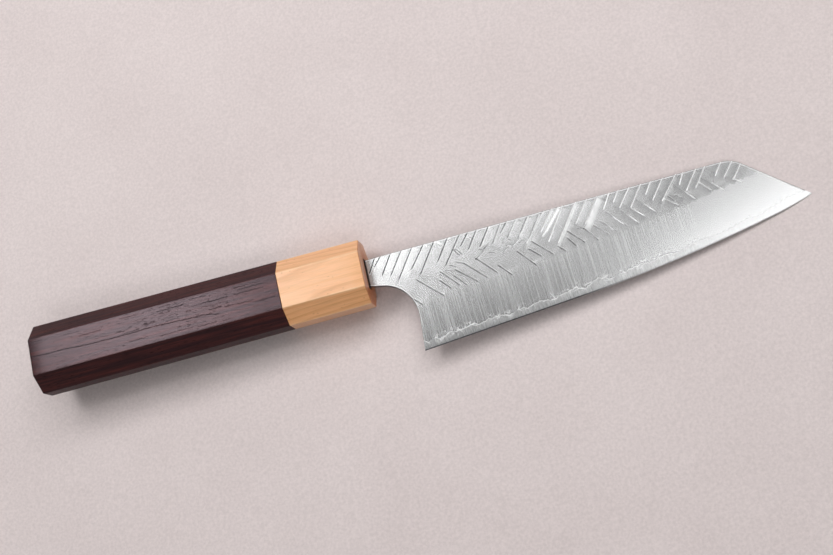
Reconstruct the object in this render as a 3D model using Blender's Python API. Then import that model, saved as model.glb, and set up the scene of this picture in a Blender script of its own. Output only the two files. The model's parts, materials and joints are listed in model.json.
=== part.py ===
"""A bunka kitchen knife: a three-layer forged blade in an octagonal wooden handle.

The knife lies on its left face with the point towards +X, the spine towards +Y and the
right face up. Each part is drawn about the handle's axis, with x = 0 at the front of the
ferrule. An empty carries them all and stands the knife on z = 0 under the middle of its
outline. Every size below is in millimetres.
"""

import bmesh
import bpy
from math import acos, atan2, cos, hypot, pi, radians, sin, sqrt, tan
from mathutils import Vector

MM = 0.001

# Handle: an octagon that widens a little from the ferrule to the butt.
HANDLE_LENGTH = 138.0
HANDLE_THICKNESS = 20.4
BUTT_WIDTH = 28.0
FRONT_WIDTH = 26.0
BUTT_CHAMFER = 6.6
FRONT_CHAMFER = 6.0
BUTT_EASE = 0.8
FERRULE_LENGTH = 33.0
FERRULE_EASE = 0.9

# Blade outline.
SPINE_Y = 5.05
SPINE_RISE = 0.0056
TIP_X = 169.9
CLIP_ANGLE = radians(40.3)
SHOULDER_RADIUS = 11.8
SHOULDER_FACETS = 6
HEEL_X, HEEL_Y = 16.0, -35.45
EDGE_RISE = 0.0808
BELLY_START, BELLY_CURVE = 75.0, 0.00082
POINT_START, POINT_CURVE = 155.0, 0.0035
NECK_UNDER_Y = -5.6
CHOIL_RADIUS, CHOIL_MIDDLE_Y = 14.6, -21.0
CHOIL_FACETS = 10
HEEL_TOP_X = 17.0

# Tang: the blade's own layers, narrowed and run back into the handle.
TANG_LENGTH = 95.0
TANG_END_TOP, TANG_END_UNDER = 2.4, -2.4

# Blade thickness: half sizes, out from the middle plane.
NECK_HALF = 1.40
TIP_SHARE = 0.46
TANG_SHARE = 0.70
BEHIND_EDGE = 0.09
GRIND_WIDTH = 40.0
GRIND_POWER = 2.8
EDGE_BEVEL = 0.5
SPINE_EASE, SPINE_EASE_DROP = 0.40, 0.22

# Laminations.
CORE_HALF = 0.18
WELD_GAP = 0.04
CLADDING_LINE = 3.3

# Struck herringbone band on each face.
CHEVRON_PITCH = 4.25
CHEVRON_DEPTH = 0.14
STEP_WIDTH = 0.45
UPPER_LEG, LOWER_LEG = radians(55.0), radians(48.0)
CHEVRON_Y, CHEVRON_RISE = -9.2, 0.0435
BEVEL_WIDTH = 17.5
BAND_START, BAND_END = 2.0, 152.0

# Joinery inside the handle.
MORTISE_DEPTH, MORTISE_HEIGHT, MORTISE_WIDTH = 7.0, 12.4, 4.6
SEAL_GAP = 0.15
NECK_SLOT_HEIGHT, NECK_SLOT_WIDTH = 10.9, 3.2
DOWEL_RADIUS, DOWEL_LENGTH = 6.6, 53.0
DOWEL_SLOT_HEIGHT, DOWEL_SLOT_WIDTH = 10.7, 3.2
BEDDING_RADIUS, BEDDING_LENGTH = 4.8, 37.0
BEDDING_SLOT_HEIGHT, BEDDING_SLOT_WIDTH = 7.4, 2.9
FIT_GAP = 0.15
JOINT_GAP = 0.10
ROUND_SIDES = 40


# Shared helpers.

def clear_scene():
    """Take out whatever the scene holds."""
    for obj in list(bpy.data.objects):
        bpy.data.objects.remove(obj, do_unlink=True)


def material(name, colour, roughness, metallic=0.0):
    """A Principled material with one plain colour."""
    mat = bpy.data.materials.new(name)
    mat.use_nodes = True
    shader = mat.node_tree.nodes["Principled BSDF"]
    shader.inputs["Base Color"].default_value = (*colour, 1.0)
    shader.inputs["Roughness"].default_value = roughness
    shader.inputs["Metallic"].default_value = metallic
    mat.diffuse_color = (*colour, 1.0)
    return mat


def add_object(name, bm, mat, parent=None):
    """Turn a bmesh drawn in millimetres into a named object in metres."""
    bmesh.ops.scale(bm, vec=(MM, MM, MM), verts=bm.verts)
    bmesh.ops.recalc_face_normals(bm, faces=bm.faces)
    mesh = bpy.data.meshes.new(name)
    bm.to_mesh(mesh)
    bm.free()
    if mat is not None:
        mesh.materials.append(mat)
    obj = bpy.data.objects.new(name, mesh)
    bpy.context.scene.collection.objects.link(obj)
    obj.parent = parent
    return obj


def cut(obj, cutter):
    """Take a cutter's shape out of an object with an exact Boolean."""
    cutter.hide_render = True
    cutter.display_type = "WIRE"
    cutter.parent = obj.parent
    modifier = obj.modifiers.new("cut_" + cutter.name, "BOOLEAN")
    modifier.operation = "DIFFERENCE"
    modifier.solver = "EXACT"
    modifier.object = cutter


def prism(name, outline, low, high, mat=None):
    """A flat outline in X and Y, run from z = low to z = high."""
    bm = bmesh.new()
    face = bm.faces.new([bm.verts.new((x, y, low)) for x, y in outline])
    top = bmesh.ops.extrude_face_region(bm, geom=[face])["geom"]
    raised = [v for v in top if isinstance(v, bmesh.types.BMVert)]
    bmesh.ops.translate(bm, vec=(0.0, 0.0, high - low), verts=raised)
    return add_object(name, bm, mat)


def box(name, x_range, y_range, z_range, mat=None):
    """A box between two limits on each axis."""
    outline = [(x_range[0], y_range[0]), (x_range[1], y_range[0]),
               (x_range[1], y_range[1]), (x_range[0], y_range[1])]
    return prism(name, outline, z_range[0], z_range[1], mat)


def rod(name, front, back, radius, mat=None, parent=None):
    """A round bar along X, shaded smooth round its side."""
    rings = [[(x, radius * cos(a), radius * sin(a))
              for a in (2.0 * pi * i / ROUND_SIDES for i in range(ROUND_SIDES))]
             for x in (back, front)]
    obj = add_object(name, loft(rings), mat, parent)
    obj.data.shade_smooth()
    obj.data.set_sharp_from_angle(angle=radians(30.0))
    return obj


def loft(rings):
    """Skin a row of rings that have the same number of points, and cap both ends."""
    bm = bmesh.new()
    loops = [[bm.verts.new(point) for point in ring] for ring in rings]
    for near, far in zip(loops, loops[1:]):
        for i in range(len(near)):
            j = (i + 1) % len(near)
            bm.faces.new((near[i], near[j], far[j], far[i]))
    bm.faces.new(loops[0])
    bm.faces.new(loops[-1])
    return bm


# Handle.

def octagon(x, inset=0.0):
    """The handle's eight-sided section at x, shrunk evenly by inset."""
    toward_butt = -x / HANDLE_LENGTH
    half_y = 0.5 * (FRONT_WIDTH + (BUTT_WIDTH - FRONT_WIDTH) * toward_butt) - inset
    half_z = 0.5 * HANDLE_THICKNESS - inset
    leg = FRONT_CHAMFER + (BUTT_CHAMFER - FRONT_CHAMFER) * toward_butt
    leg -= inset * (2.0 - sqrt(2.0))
    corners = []
    for sign_y, sign_z in ((1, 1), (-1, 1), (-1, -1), (1, -1)):
        pair = [(x, sign_y * half_y, sign_z * (half_z - leg)),
                (x, sign_y * (half_y - leg), sign_z * half_z)]
        corners += pair if sign_y == sign_z else pair[::-1]
    return corners


def build_handle_body(mat, parent):
    """Rear of the handle, with a blind bore for the dowel and a narrower one for the tang."""
    front = -FERRULE_LENGTH - JOINT_GAP
    rings = [octagon(-HANDLE_LENGTH, BUTT_EASE), octagon(-HANDLE_LENGTH + BUTT_EASE),
             octagon(front)]
    body = add_object("handle_body", loft(rings), mat, parent)
    dowel_end = -MORTISE_DEPTH - FIT_GAP - DOWEL_LENGTH
    tang_end = dowel_end - BEDDING_LENGTH - 2.0 * FIT_GAP
    cut(body, rod("dowel_bore", front + 2.0, dowel_end - FIT_GAP, DOWEL_RADIUS + FIT_GAP))
    cut(body, rod("tang_bore", dowel_end + 2.0, tang_end, BEDDING_RADIUS + FIT_GAP))
    return body


def build_ferrule(mat, parent):
    """Front of the handle: a mortise for the neck, and the front half of the dowel bore."""
    rings = [octagon(-FERRULE_LENGTH), octagon(-FERRULE_EASE), octagon(0.0, FERRULE_EASE)]
    ferrule = add_object("ferrule", loft(rings), mat, parent)
    middle = neck_middle_y()
    cut(ferrule, rod("ferrule_bore", -MORTISE_DEPTH, -FERRULE_LENGTH - 2.0,
                     DOWEL_RADIUS + FIT_GAP))
    cut(ferrule, box("mortise", (-MORTISE_DEPTH - 2.0, 2.0),
                     (middle - 0.5 * MORTISE_HEIGHT, middle + 0.5 * MORTISE_HEIGHT),
                     (-0.5 * MORTISE_WIDTH, 0.5 * MORTISE_WIDTH)))
    return ferrule


def neck_middle_y():
    """Height of the neck's middle line at the ferrule's front."""
    return 0.5 * (SPINE_Y + NECK_UNDER_Y)


def build_mouth_seal(mat, parent):
    """Dark filler that closes the mortise round the neck."""
    middle = neck_middle_y()
    half_y = 0.5 * MORTISE_HEIGHT - SEAL_GAP
    half_z = 0.5 * MORTISE_WIDTH - SEAL_GAP
    seal = box("mouth_seal", (-MORTISE_DEPTH + FIT_GAP, -JOINT_GAP),
               (middle - half_y, middle + half_y), (-half_z, half_z), mat)
    seal.parent = parent
    cut(seal, box("neck_slot", (-MORTISE_DEPTH - 1.0, 1.0),
                  (middle - 0.5 * NECK_SLOT_HEIGHT, middle + 0.5 * NECK_SLOT_HEIGHT),
                  (-0.5 * NECK_SLOT_WIDTH, 0.5 * NECK_SLOT_WIDTH)))
    return seal


def build_tang_dowel(mat, parent):
    """Hardwood dowel, slotted for the tang, that joins the ferrule to the handle body."""
    front = -MORTISE_DEPTH - FIT_GAP
    back = front - DOWEL_LENGTH
    dowel = rod("tang_dowel", front, back, DOWEL_RADIUS, mat, parent)
    middle = neck_middle_y()
    cut(dowel, box("dowel_slot", (back - 1.0, front + 1.0),
                   (middle - 0.5 * DOWEL_SLOT_HEIGHT, middle + 0.5 * DOWEL_SLOT_HEIGHT),
                   (-0.5 * DOWEL_SLOT_WIDTH, 0.5 * DOWEL_SLOT_WIDTH)))
    return dowel


def build_tang_bedding(mat, parent):
    """Set adhesive round the tang's end, behind the dowel."""
    front = -MORTISE_DEPTH - 2.0 * FIT_GAP - DOWEL_LENGTH
    back = front - BEDDING_LENGTH
    bedding = rod("tang_bedding", front, back, BEDDING_RADIUS, mat, parent)
    cut(bedding, box("tang_pocket", (-TANG_LENGTH - 2.0 * FIT_GAP, front + 1.0),
                     (-0.5 * BEDDING_SLOT_HEIGHT, 0.5 * BEDDING_SLOT_HEIGHT),
                     (-0.5 * BEDDING_SLOT_WIDTH, 0.5 * BEDDING_SLOT_WIDTH)))
    return bedding


# Blade outline and grind, as functions of the place on the blade.

def edge_y(x):
    """The cutting edge: straight from the heel, then swept up, a little more at the point."""
    belly = BELLY_CURVE * max(0.0, x - BELLY_START) ** 2
    point = POINT_CURVE * max(0.0, x - POINT_START) ** 2
    return HEEL_Y + EDGE_RISE * (x - HEEL_X) + belly + point


def spine_y(x):
    """The spine, and the top of the tang behind the ferrule's front."""
    if x < 0.0:
        return SPINE_Y + (SPINE_Y - TANG_END_TOP) * x / TANG_LENGTH
    return SPINE_Y + SPINE_RISE * x


def cladding_line_y(x):
    """Where the cladding ends and the core shows: it wanders as the layers were forged."""
    return edge_y(x) + CLADDING_LINE + 0.50 * sin(x / 5.3) + 0.30 * sin(x / 2.3 + 1.0)


def chevron_y(x):
    """The line that the points of the chevrons follow."""
    return CHEVRON_Y + CHEVRON_RISE * x


def band_foot_y(x):
    """Lower limit of the struck band, where the ground bevel starts."""
    return min(edge_y(x) + BEVEL_WIDTH, chevron_y(x) - 0.6)


def taper(x):
    """Share of the neck's thickness: less towards the point and the tang's end."""
    if x > 0.0:
        return 1.0 - (1.0 - TIP_SHARE) * x / TIP_X
    return 1.0 + (1.0 - TANG_SHARE) * x / TANG_LENGTH


def grind_half(x, y):
    """Half the blade's thickness: one convex curve from the spine to behind the edge."""
    depth = min(1.0, max(0.0, (y - edge_y(x)) / GRIND_WIDTH))
    curve = 1.0 - (1.0 - depth) ** GRIND_POWER
    return NECK_HALF * taper(x) * (BEHIND_EDGE + (1.0 - BEHIND_EDGE) * curve)


def core_half(x):
    """Half the core's thickness: flat weld faces that close in towards the point."""
    return CORE_HALF * (1.0 - (1.0 - TIP_SHARE) * x / TIP_X)


# Blade pieces.

def blade_lines():
    """Lines across the blade, tang end to past the point: (chevron x, lean, depth).

    A struck chevron has two lines: the crest of its step, and the step's foot, sunk by
    depth. The face between a foot and the next crest is the ramp that one blow leaves.
    """
    lines = [(-TANG_LENGTH, 0.0, 0.0), (-22.0, 0.0, 0.0)]
    x, blow = -12.0, 0
    while x < TIP_X + 3.0:
        lines.append((x, 1.0, 0.0))
        if BAND_START < chevron_top_x(x) < BAND_END:
            lines.append((x + STEP_WIDTH, 1.0, CHEVRON_DEPTH * taper(x)))
        blow += 1
        x += CHEVRON_PITCH * (1.0 + 0.12 * sin(2.4 * blow))
    return lines


def chevron_top_x(x):
    """Where a chevron that points at x meets the spine."""
    return x + (spine_y(x) - chevron_y(x)) / tan(UPPER_LEG)


def line_places(x, lean):
    """Places (x, y) down one line, from the spine to the cladding line."""
    top_x = x + lean * (chevron_top_x(x) - x)
    ease_x = top_x - lean * SPINE_EASE / tan(UPPER_LEG)
    foot_x = x + lean * (chevron_y(x) - band_foot_y(x)) / tan(LOWER_LEG)
    bevel = BEVEL_WIDTH - CLADDING_LINE
    places = [(top_x, spine_y(top_x)), (ease_x, spine_y(ease_x) - SPINE_EASE),
              (x, chevron_y(x)), (foot_x, band_foot_y(foot_x))]
    places += [(foot_x, edge_y(foot_x) + CLADDING_LINE + share * bevel)
               for share in (0.60, 0.28)]
    return places + [(foot_x, cladding_line_y(foot_x))]


def cladding_grid():
    """Outer points of the right cladding, one row for each line across the blade."""
    grid = []
    for x, lean, depth in blade_lines():
        places = line_places(x, lean)
        sunk = [SPINE_EASE_DROP + depth, depth, depth] + [0.0] * (len(places) - 3)
        grid.append([(px, py, grind_half(px, py) - s) for (px, py), s in zip(places, sunk)])
    return grid


def core_grid():
    """Right-hand points of the core: weld face, step at the cladding line, bare edge."""
    grid = []
    for x, lean, _ in blade_lines():
        places = line_places(x, lean)
        (top_x, top_y), (line_x, line_y) = places[0], places[-1]
        bevel_y = edge_y(line_x) + EDGE_BEVEL
        grid.append([(top_x, top_y, core_half(top_x)),
                     (line_x, line_y, core_half(line_x)),
                     (line_x, line_y, grind_half(line_x, line_y)),
                     (line_x, bevel_y, grind_half(line_x, bevel_y)),
                     (line_x, edge_y(line_x), 0.0)])
    return grid


def close_between(upper, lower):
    """A solid between two grids of points; they share each point where they meet."""
    bm = bmesh.new()
    top = [[bm.verts.new(p) for p in line] for line in upper]
    under = [[v if v.co.z == q[2] else bm.verts.new(q) for v, q in zip(verts, line)]
             for verts, line in zip(top, lower)]

    def face(*verts):
        corners = list(dict.fromkeys(verts))
        if len(corners) > 2:
            bm.faces.new(corners)

    rows, columns = len(top), len(top[0])
    for i in range(rows - 1):
        for j in range(columns - 1):
            for grid in (top, under):
                face(grid[i][j], grid[i + 1][j], grid[i + 1][j + 1], grid[i][j + 1])
        for j in (0, columns - 1):
            face(top[i][j], top[i + 1][j], under[i + 1][j], under[i][j])
    for j in range(columns - 1):
        for i in (0, rows - 1):
            face(top[i][j], top[i][j + 1], under[i][j + 1], under[i][j])
    return bm


def trim_to_clip(bm):
    """Cut off what lies past the rounded shoulder and the straight clip."""
    spine_angle = SPINE_RISE
    tip = Vector((TIP_X, edge_y(TIP_X), 0.0))
    spine_out = Vector((-sin(spine_angle), cos(spine_angle), 0.0))
    clip_out = Vector((sin(CLIP_ANGLE), cos(CLIP_ANGLE), 0.0))
    # The shoulder's centre lies one radius inside both straight lines.
    reach_spine = spine_out.y * SPINE_Y - SHOULDER_RADIUS
    reach_clip = clip_out.dot(tip) - SHOULDER_RADIUS
    cross = spine_out.x * clip_out.y - spine_out.y * clip_out.x
    centre = Vector(((reach_spine * clip_out.y - reach_clip * spine_out.y) / cross,
                     (spine_out.x * reach_clip - clip_out.x * reach_spine) / cross, 0.0))
    facet = (CLIP_ANGLE + spine_angle) / SHOULDER_FACETS
    for i in range(SHOULDER_FACETS):
        angle = -spine_angle + (i + 0.5) * facet
        out = Vector((sin(angle), cos(angle), 0.0))
        slice_off(bm, centre + out * SHOULDER_RADIUS * cos(0.5 * facet), out)
    slice_off(bm, tip, clip_out)


def slice_off(bm, place, out):
    """Remove the side of a plane that out points to, and cap the cut."""
    everything = bm.verts[:] + bm.edges[:] + bm.faces[:]
    made = bmesh.ops.bisect_plane(bm, geom=everything, dist=1e-6, plane_co=place,
                                  plane_no=out, clear_outer=True)["geom_cut"]
    rim = [e for e in made if isinstance(e, bmesh.types.BMEdge)]
    if rim:
        bmesh.ops.holes_fill(bm, edges=rim, sides=0)


def choil_outline():
    """What is cut away under the tang and behind the heel, with the round choil.

    The neck's underside runs straight from the ferrule until it touches the choil's arc.
    """
    under = (TANG_END_UNDER - NECK_UNDER_Y) / TANG_LENGTH
    centre_x, centre_y = HEEL_TOP_X - CHOIL_RADIUS, CHOIL_MIDDLE_Y
    to_neck = (-centre_x, NECK_UNDER_Y - centre_y)
    touch = atan2(to_neck[1], to_neck[0]) - acos(CHOIL_RADIUS / hypot(*to_neck))
    outline = [(-1.1 * TANG_LENGTH, NECK_UNDER_Y + 1.1 * TANG_LENGTH * under),
               (0.0, NECK_UNDER_Y)]
    for i in range(CHOIL_FACETS + 1):
        angle = touch * (1.0 - i / CHOIL_FACETS)
        outline.append((centre_x + CHOIL_RADIUS * cos(angle),
                        centre_y + CHOIL_RADIUS * sin(angle)))
    below = 2.0 * HEEL_Y
    lean = (HEEL_X - HEEL_TOP_X) / (HEEL_Y - centre_y)
    outline += [(HEEL_X + (below - HEEL_Y) * lean, below), (-1.1 * TANG_LENGTH, below)]
    return outline[::-1]


def build_blade_layer(name, upper, lower, mat, parent, choil):
    """One lamination: closed between its faces, clipped at the point, cut at the choil."""
    bm = close_between(upper, lower)
    merge_flat_faces(bm)
    trim_to_clip(bm)
    layer = add_object(name, bm, mat, parent)
    cut(layer, choil)
    return layer


def merge_flat_faces(bm):
    """Join neighbouring faces that lie in one plane, and split the rest into triangles."""
    bmesh.ops.recalc_face_normals(bm, faces=bm.faces)
    bmesh.ops.triangulate(bm, faces=[f for f in bm.faces if len(f.verts) > 3])
    bmesh.ops.dissolve_limit(bm, angle_limit=radians(0.01), verts=bm.verts, edges=bm.edges)


def build_blade(steel, core_steel, parent):
    """Core and both claddings, which share the lines across the blade."""
    choil = prism("choil_cutter", choil_outline(), -8.0, 8.0)
    core = core_grid()
    mirrored = [[(x, y, -z) for x, y, z in line] for line in core]
    build_blade_layer("core_steel", core, mirrored, core_steel, parent, choil)

    outer = cladding_grid()
    weld = [[(x, y, core_half(x) + WELD_GAP) for x, y, _ in line] for line in outer]
    build_blade_layer("cladding_right", outer, weld, steel, parent, choil)
    outer_left = [[(x, y, -z) for x, y, z in line] for line in outer]
    weld_left = [[(x, y, -z) for x, y, z in line] for line in weld]
    build_blade_layer("cladding_left", outer_left, weld_left, steel, parent, choil)


def main():
    """Model the whole knife."""
    clear_scene()
    knife = bpy.data.objects.new("knife", None)
    bpy.context.scene.collection.objects.link(knife)
    knife.location = (-0.5 * (TIP_X - HANDLE_LENGTH) * MM,
                      -0.5 * (0.5 * BUTT_WIDTH + HEEL_Y) * MM, 0.5 * HANDLE_THICKNESS * MM)

    rosewood = material("rosewood", (0.075, 0.030, 0.026), 0.38)
    pale_wood = material("pale_wood", (0.78, 0.50, 0.29), 0.42)
    dowel_wood = material("dowel_wood", (0.62, 0.45, 0.25), 0.60)
    filler = material("black_filler", (0.012, 0.012, 0.013), 0.45)
    adhesive = material("amber_adhesive", (0.45, 0.24, 0.07), 0.30)
    steel = material("cladding_steel", (0.66, 0.67, 0.68), 0.34, 1.0)
    core_steel = material("core_steel", (0.50, 0.51, 0.52), 0.42, 1.0)

    build_handle_body(rosewood, knife)
    build_ferrule(pale_wood, knife)
    build_tang_dowel(dowel_wood, knife)
    build_tang_bedding(adhesive, knife)
    build_mouth_seal(filler, knife)
    build_blade(steel, core_steel, knife)


main()
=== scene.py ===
"""Looks of a bunka knife: struck cladding steel, bare core edge and two oiled woods.

The knife lies on its left face, point towards +X and spine towards +Y. Its pieces are
drawn in millimetres about the handle's axis, with x = 0 at the front of the ferrule, and
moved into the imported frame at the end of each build.
"""

import json
import logging
from collections.abc import Callable, Sequence
from dataclasses import dataclass, field
from enum import Enum
from functools import reduce
from math import acos, atan, atan2, cos, hypot, pi, radians, sin, sqrt, tan

import bpy
import numpy as np
from mathutils import Euler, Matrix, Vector
from mathutils.geometry import delaunay_2d_cdt, tessellate_polygon
from mathutils.kdtree import KDTree

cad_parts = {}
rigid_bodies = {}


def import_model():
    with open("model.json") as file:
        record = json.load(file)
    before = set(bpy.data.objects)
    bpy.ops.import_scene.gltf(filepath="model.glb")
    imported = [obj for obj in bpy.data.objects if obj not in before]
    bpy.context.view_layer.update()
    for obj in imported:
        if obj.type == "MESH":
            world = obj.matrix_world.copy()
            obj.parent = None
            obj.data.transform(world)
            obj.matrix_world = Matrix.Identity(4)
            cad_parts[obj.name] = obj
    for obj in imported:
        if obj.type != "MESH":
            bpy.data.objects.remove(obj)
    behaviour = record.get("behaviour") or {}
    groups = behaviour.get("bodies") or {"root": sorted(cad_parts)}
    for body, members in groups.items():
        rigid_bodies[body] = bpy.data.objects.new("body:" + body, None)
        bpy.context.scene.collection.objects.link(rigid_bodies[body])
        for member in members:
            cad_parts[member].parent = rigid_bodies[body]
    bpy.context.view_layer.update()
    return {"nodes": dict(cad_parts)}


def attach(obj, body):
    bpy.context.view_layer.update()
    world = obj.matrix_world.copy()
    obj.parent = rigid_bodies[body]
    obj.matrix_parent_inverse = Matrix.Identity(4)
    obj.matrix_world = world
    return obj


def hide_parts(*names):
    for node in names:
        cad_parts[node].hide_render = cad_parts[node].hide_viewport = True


for spare in list(bpy.data.objects):
    bpy.data.objects.remove(spare)
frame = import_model()

Point = tuple[float, float]
Feeds = dict[str | int, object]
Materials = dict[str, bpy.types.Material]

log = logging.getLogger("bunka")

MM = 0.001
# Where the handle axis at the ferrule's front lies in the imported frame, in millimetres.
FERRULE_FRONT = (-15.95, 10.725, 10.2)


class Side(Enum):
    """The blade's two faces, as the sign of Z that they look to."""

    RIGHT = 1.0
    LEFT = -1.0


# Node tools.


class Field:
    """One output in a node tree. Arithmetic on it adds the nodes that work it out."""

    def __init__(self, net: "Network", socket: bpy.types.NodeSocket) -> None:
        """Wrap an output of this network."""
        self.net, self.socket = net, socket

    def __add__(self, other: object) -> "Field":
        """Add a number, a tuple or another field."""
        return self.net.work("ADD", self, other)

    def __sub__(self, other: object) -> "Field":
        """Take a number, a tuple or another field away."""
        return self.net.work("SUBTRACT", self, other)

    def __rsub__(self, other: object) -> "Field":
        """Take this field away from a number."""
        return self.net.work("SUBTRACT", other, self)

    def __mul__(self, other: object) -> "Field":
        """Multiply; a vector and a number scale the vector."""
        return self.net.work("MULTIPLY", self, other)

    def __truediv__(self, other: object) -> "Field":
        """Divide, part by part for vectors."""
        return self.net.work("DIVIDE", self, other)

    def __rtruediv__(self, other: object) -> "Field":
        """Divide a number by this field."""
        return self.net.work("DIVIDE", other, self)

    def __pow__(self, power: object) -> "Field":
        """Raise to a power."""
        return self.net.work("POWER", self, power)

    def __abs__(self) -> "Field":
        """The size without its sign."""
        return self.net.work("ABSOLUTE", self)

    @property
    def parts(self) -> list["Field"]:
        """X, Y and Z of a vector."""
        node = self.net.add("ShaderNodeSeparateXYZ", {0: self})
        return [Field(self.net, socket) for socket in node.outputs]

    def span(self, low: object, high: object, start: object = 0.0, end: object = 1.0,
             kind: str = "LINEAR") -> "Field":
        """Map low..high to start..end, held at both ends."""
        return self.net.result("ShaderNodeMapRange", {0: self, 1: low, 2: high, 3: start, 4: end},
                               interpolation_type=kind)

    def fade(self, low: object, high: object, start: object = 1.0, kind: str = "LINEAR"
             ) -> "Field":
        """Map low..high to a start that falls to nothing."""
        return self.span(low, high, start, 0.0, kind)


class Network:
    """Adds nodes to one tree, each with its inputs fed in the same call."""

    def __init__(self, tree: bpy.types.NodeTree) -> None:
        """Work on this tree."""
        self.tree = tree

    def feed(self, socket: bpy.types.NodeSocket, value: object) -> None:
        """Link a field to one input, or set a plain value there."""
        if isinstance(value, Field):
            self.tree.links.new(value.socket, socket)
        elif socket.type == "RGBA" and len(value) == 3:
            socket.default_value = (*value, 1.0)
        else:
            socket.default_value = value

    def add(self, kind: str, feeds: Feeds | None = None, **settings: object) -> bpy.types.Node:
        """Add one node.

        Args:
            kind: the node's type name.
            feeds: values or fields for its inputs, by name or index.
            **settings: the node's own options.

        Returns:
            The new node.
        """
        node = self.tree.nodes.new(kind)
        for name, value in settings.items():
            setattr(node, name, value)
        for key, value in (feeds or {}).items():
            self.feed(node.inputs[key], value)
        return node

    def result(self, kind: str, feeds: Feeds | None = None, output: int | str = 0,
               **settings: object) -> Field:
        """Add one node and take one of its outputs."""
        return Field(self, self.add(kind, feeds, **settings).outputs[output])

    def work(self, operation: str, *values: object, clamp: bool = False) -> Field:
        """Add one Math node, or a Vector Math node where a value is a vector or a colour.

        Args:
            operation: the node's operation.
            *values: numbers, tuples or fields.
            clamp: whether a plain number's result is held between 0 and 1.

        Returns:
            The result.
        """
        wide = [isinstance(v, tuple) or isinstance(v, Field) and v.socket.type in (
            "VECTOR", "RGBA") for v in values]
        feeds = dict(enumerate(values))
        if not any(wide):
            return self.result("ShaderNodeMath", feeds, operation=operation, use_clamp=clamp)
        if operation == "MULTIPLY" and not all(wide):
            operation = "SCALE"
            feeds = {0: values[wide.index(True)], "Scale": values[wide.index(False)]}
        output = "Value" if operation in ("DOT_PRODUCT", "LENGTH") else "Vector"
        return self.result("ShaderNodeVectorMath", feeds, output, operation=operation)

    def most(self, *values: object) -> Field:
        """The largest of some values."""
        return reduce(lambda a, b: self.work("MAXIMUM", a, b), values)

    def least(self, *values: object) -> Field:
        """The smallest of some values."""
        return reduce(lambda a, b: self.work("MINIMUM", a, b), values)

    def join(self, x: object = 0.0, y: object = 0.0, z: object = 0.0) -> Field:
        """A vector from its parts."""
        return self.result("ShaderNodeCombineXYZ", {0: x, 1: y, 2: z})

    def mix(self, factor: object, first: object, second: object, **settings: object) -> Field:
        """Mix two numbers by a factor."""
        return self.result("ShaderNodeMix", {"Factor": factor, "A": first, "B": second},
                           **settings)

    def tint(self, factor: object, first: object, second: object) -> Field:
        """Mix two colours by a factor."""
        return self.result("ShaderNodeMix", {0: factor, 6: first, 7: second}, 2,
                           data_type="RGBA")

    def noise(self, vector: object, detail: float = 2.0, roughness: float = 0.5,
              distortion: float = 0.0, scale: float = 1.0) -> Field:
        """A noise texture's value."""
        return self.result("ShaderNodeTexNoise", {
            "Vector": vector, "Scale": scale, "Detail": detail, "Roughness": roughness,
            "Distortion": distortion}, "Fac")

    def mark(self, name: str, kind: str = "FLOAT") -> Field:
        """A value that the mesh carries under this name."""
        if self.tree.type == "SHADER":
            return self.result("ShaderNodeAttribute", output="Fac", attribute_name=name)
        return self.result("GeometryNodeInputNamedAttribute", {"Name": name}, data_type=kind)


class Group(Network):
    """A node group with named inputs and outputs."""

    def __init__(self, kind: str, name: str, inputs: dict[str, object], *outputs: str) -> None:
        """Start the group.

        Args:
            kind: the tree's type name.
            name: the group's name.
            inputs: for each input its default number or tuple, or its type's short name.
            *outputs: the outputs' names: numbers, or the one named Geometry.
        """
        super().__init__(bpy.data.node_groups.new(name, kind))
        for title, default in inputs.items():
            short = (default if isinstance(default, str)
                     else "Vector" if isinstance(default, tuple) else "Float")
            socket = self.tree.interface.new_socket(title, socket_type="NodeSocket" + short)
            if short != default:
                socket.default_value = default
        for title in outputs:
            self.tree.interface.new_socket(title, in_out="OUTPUT", socket_type="NodeSocket" + (
                title if title == "Geometry" else "Float"))
        self.given = {s.name: Field(self, s) for s in self.add("NodeGroupInput").outputs if s.name}
        self.wanted = self.add("NodeGroupOutput").inputs

    def give(self, **results: Field) -> bpy.types.NodeTree:
        """Feed the group's outputs, by name, and hand over its tree."""
        for title, value in results.items():
            self.feed(self.wanted[title], value)
        return self.tree


# Effects that several finishes share.


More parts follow.
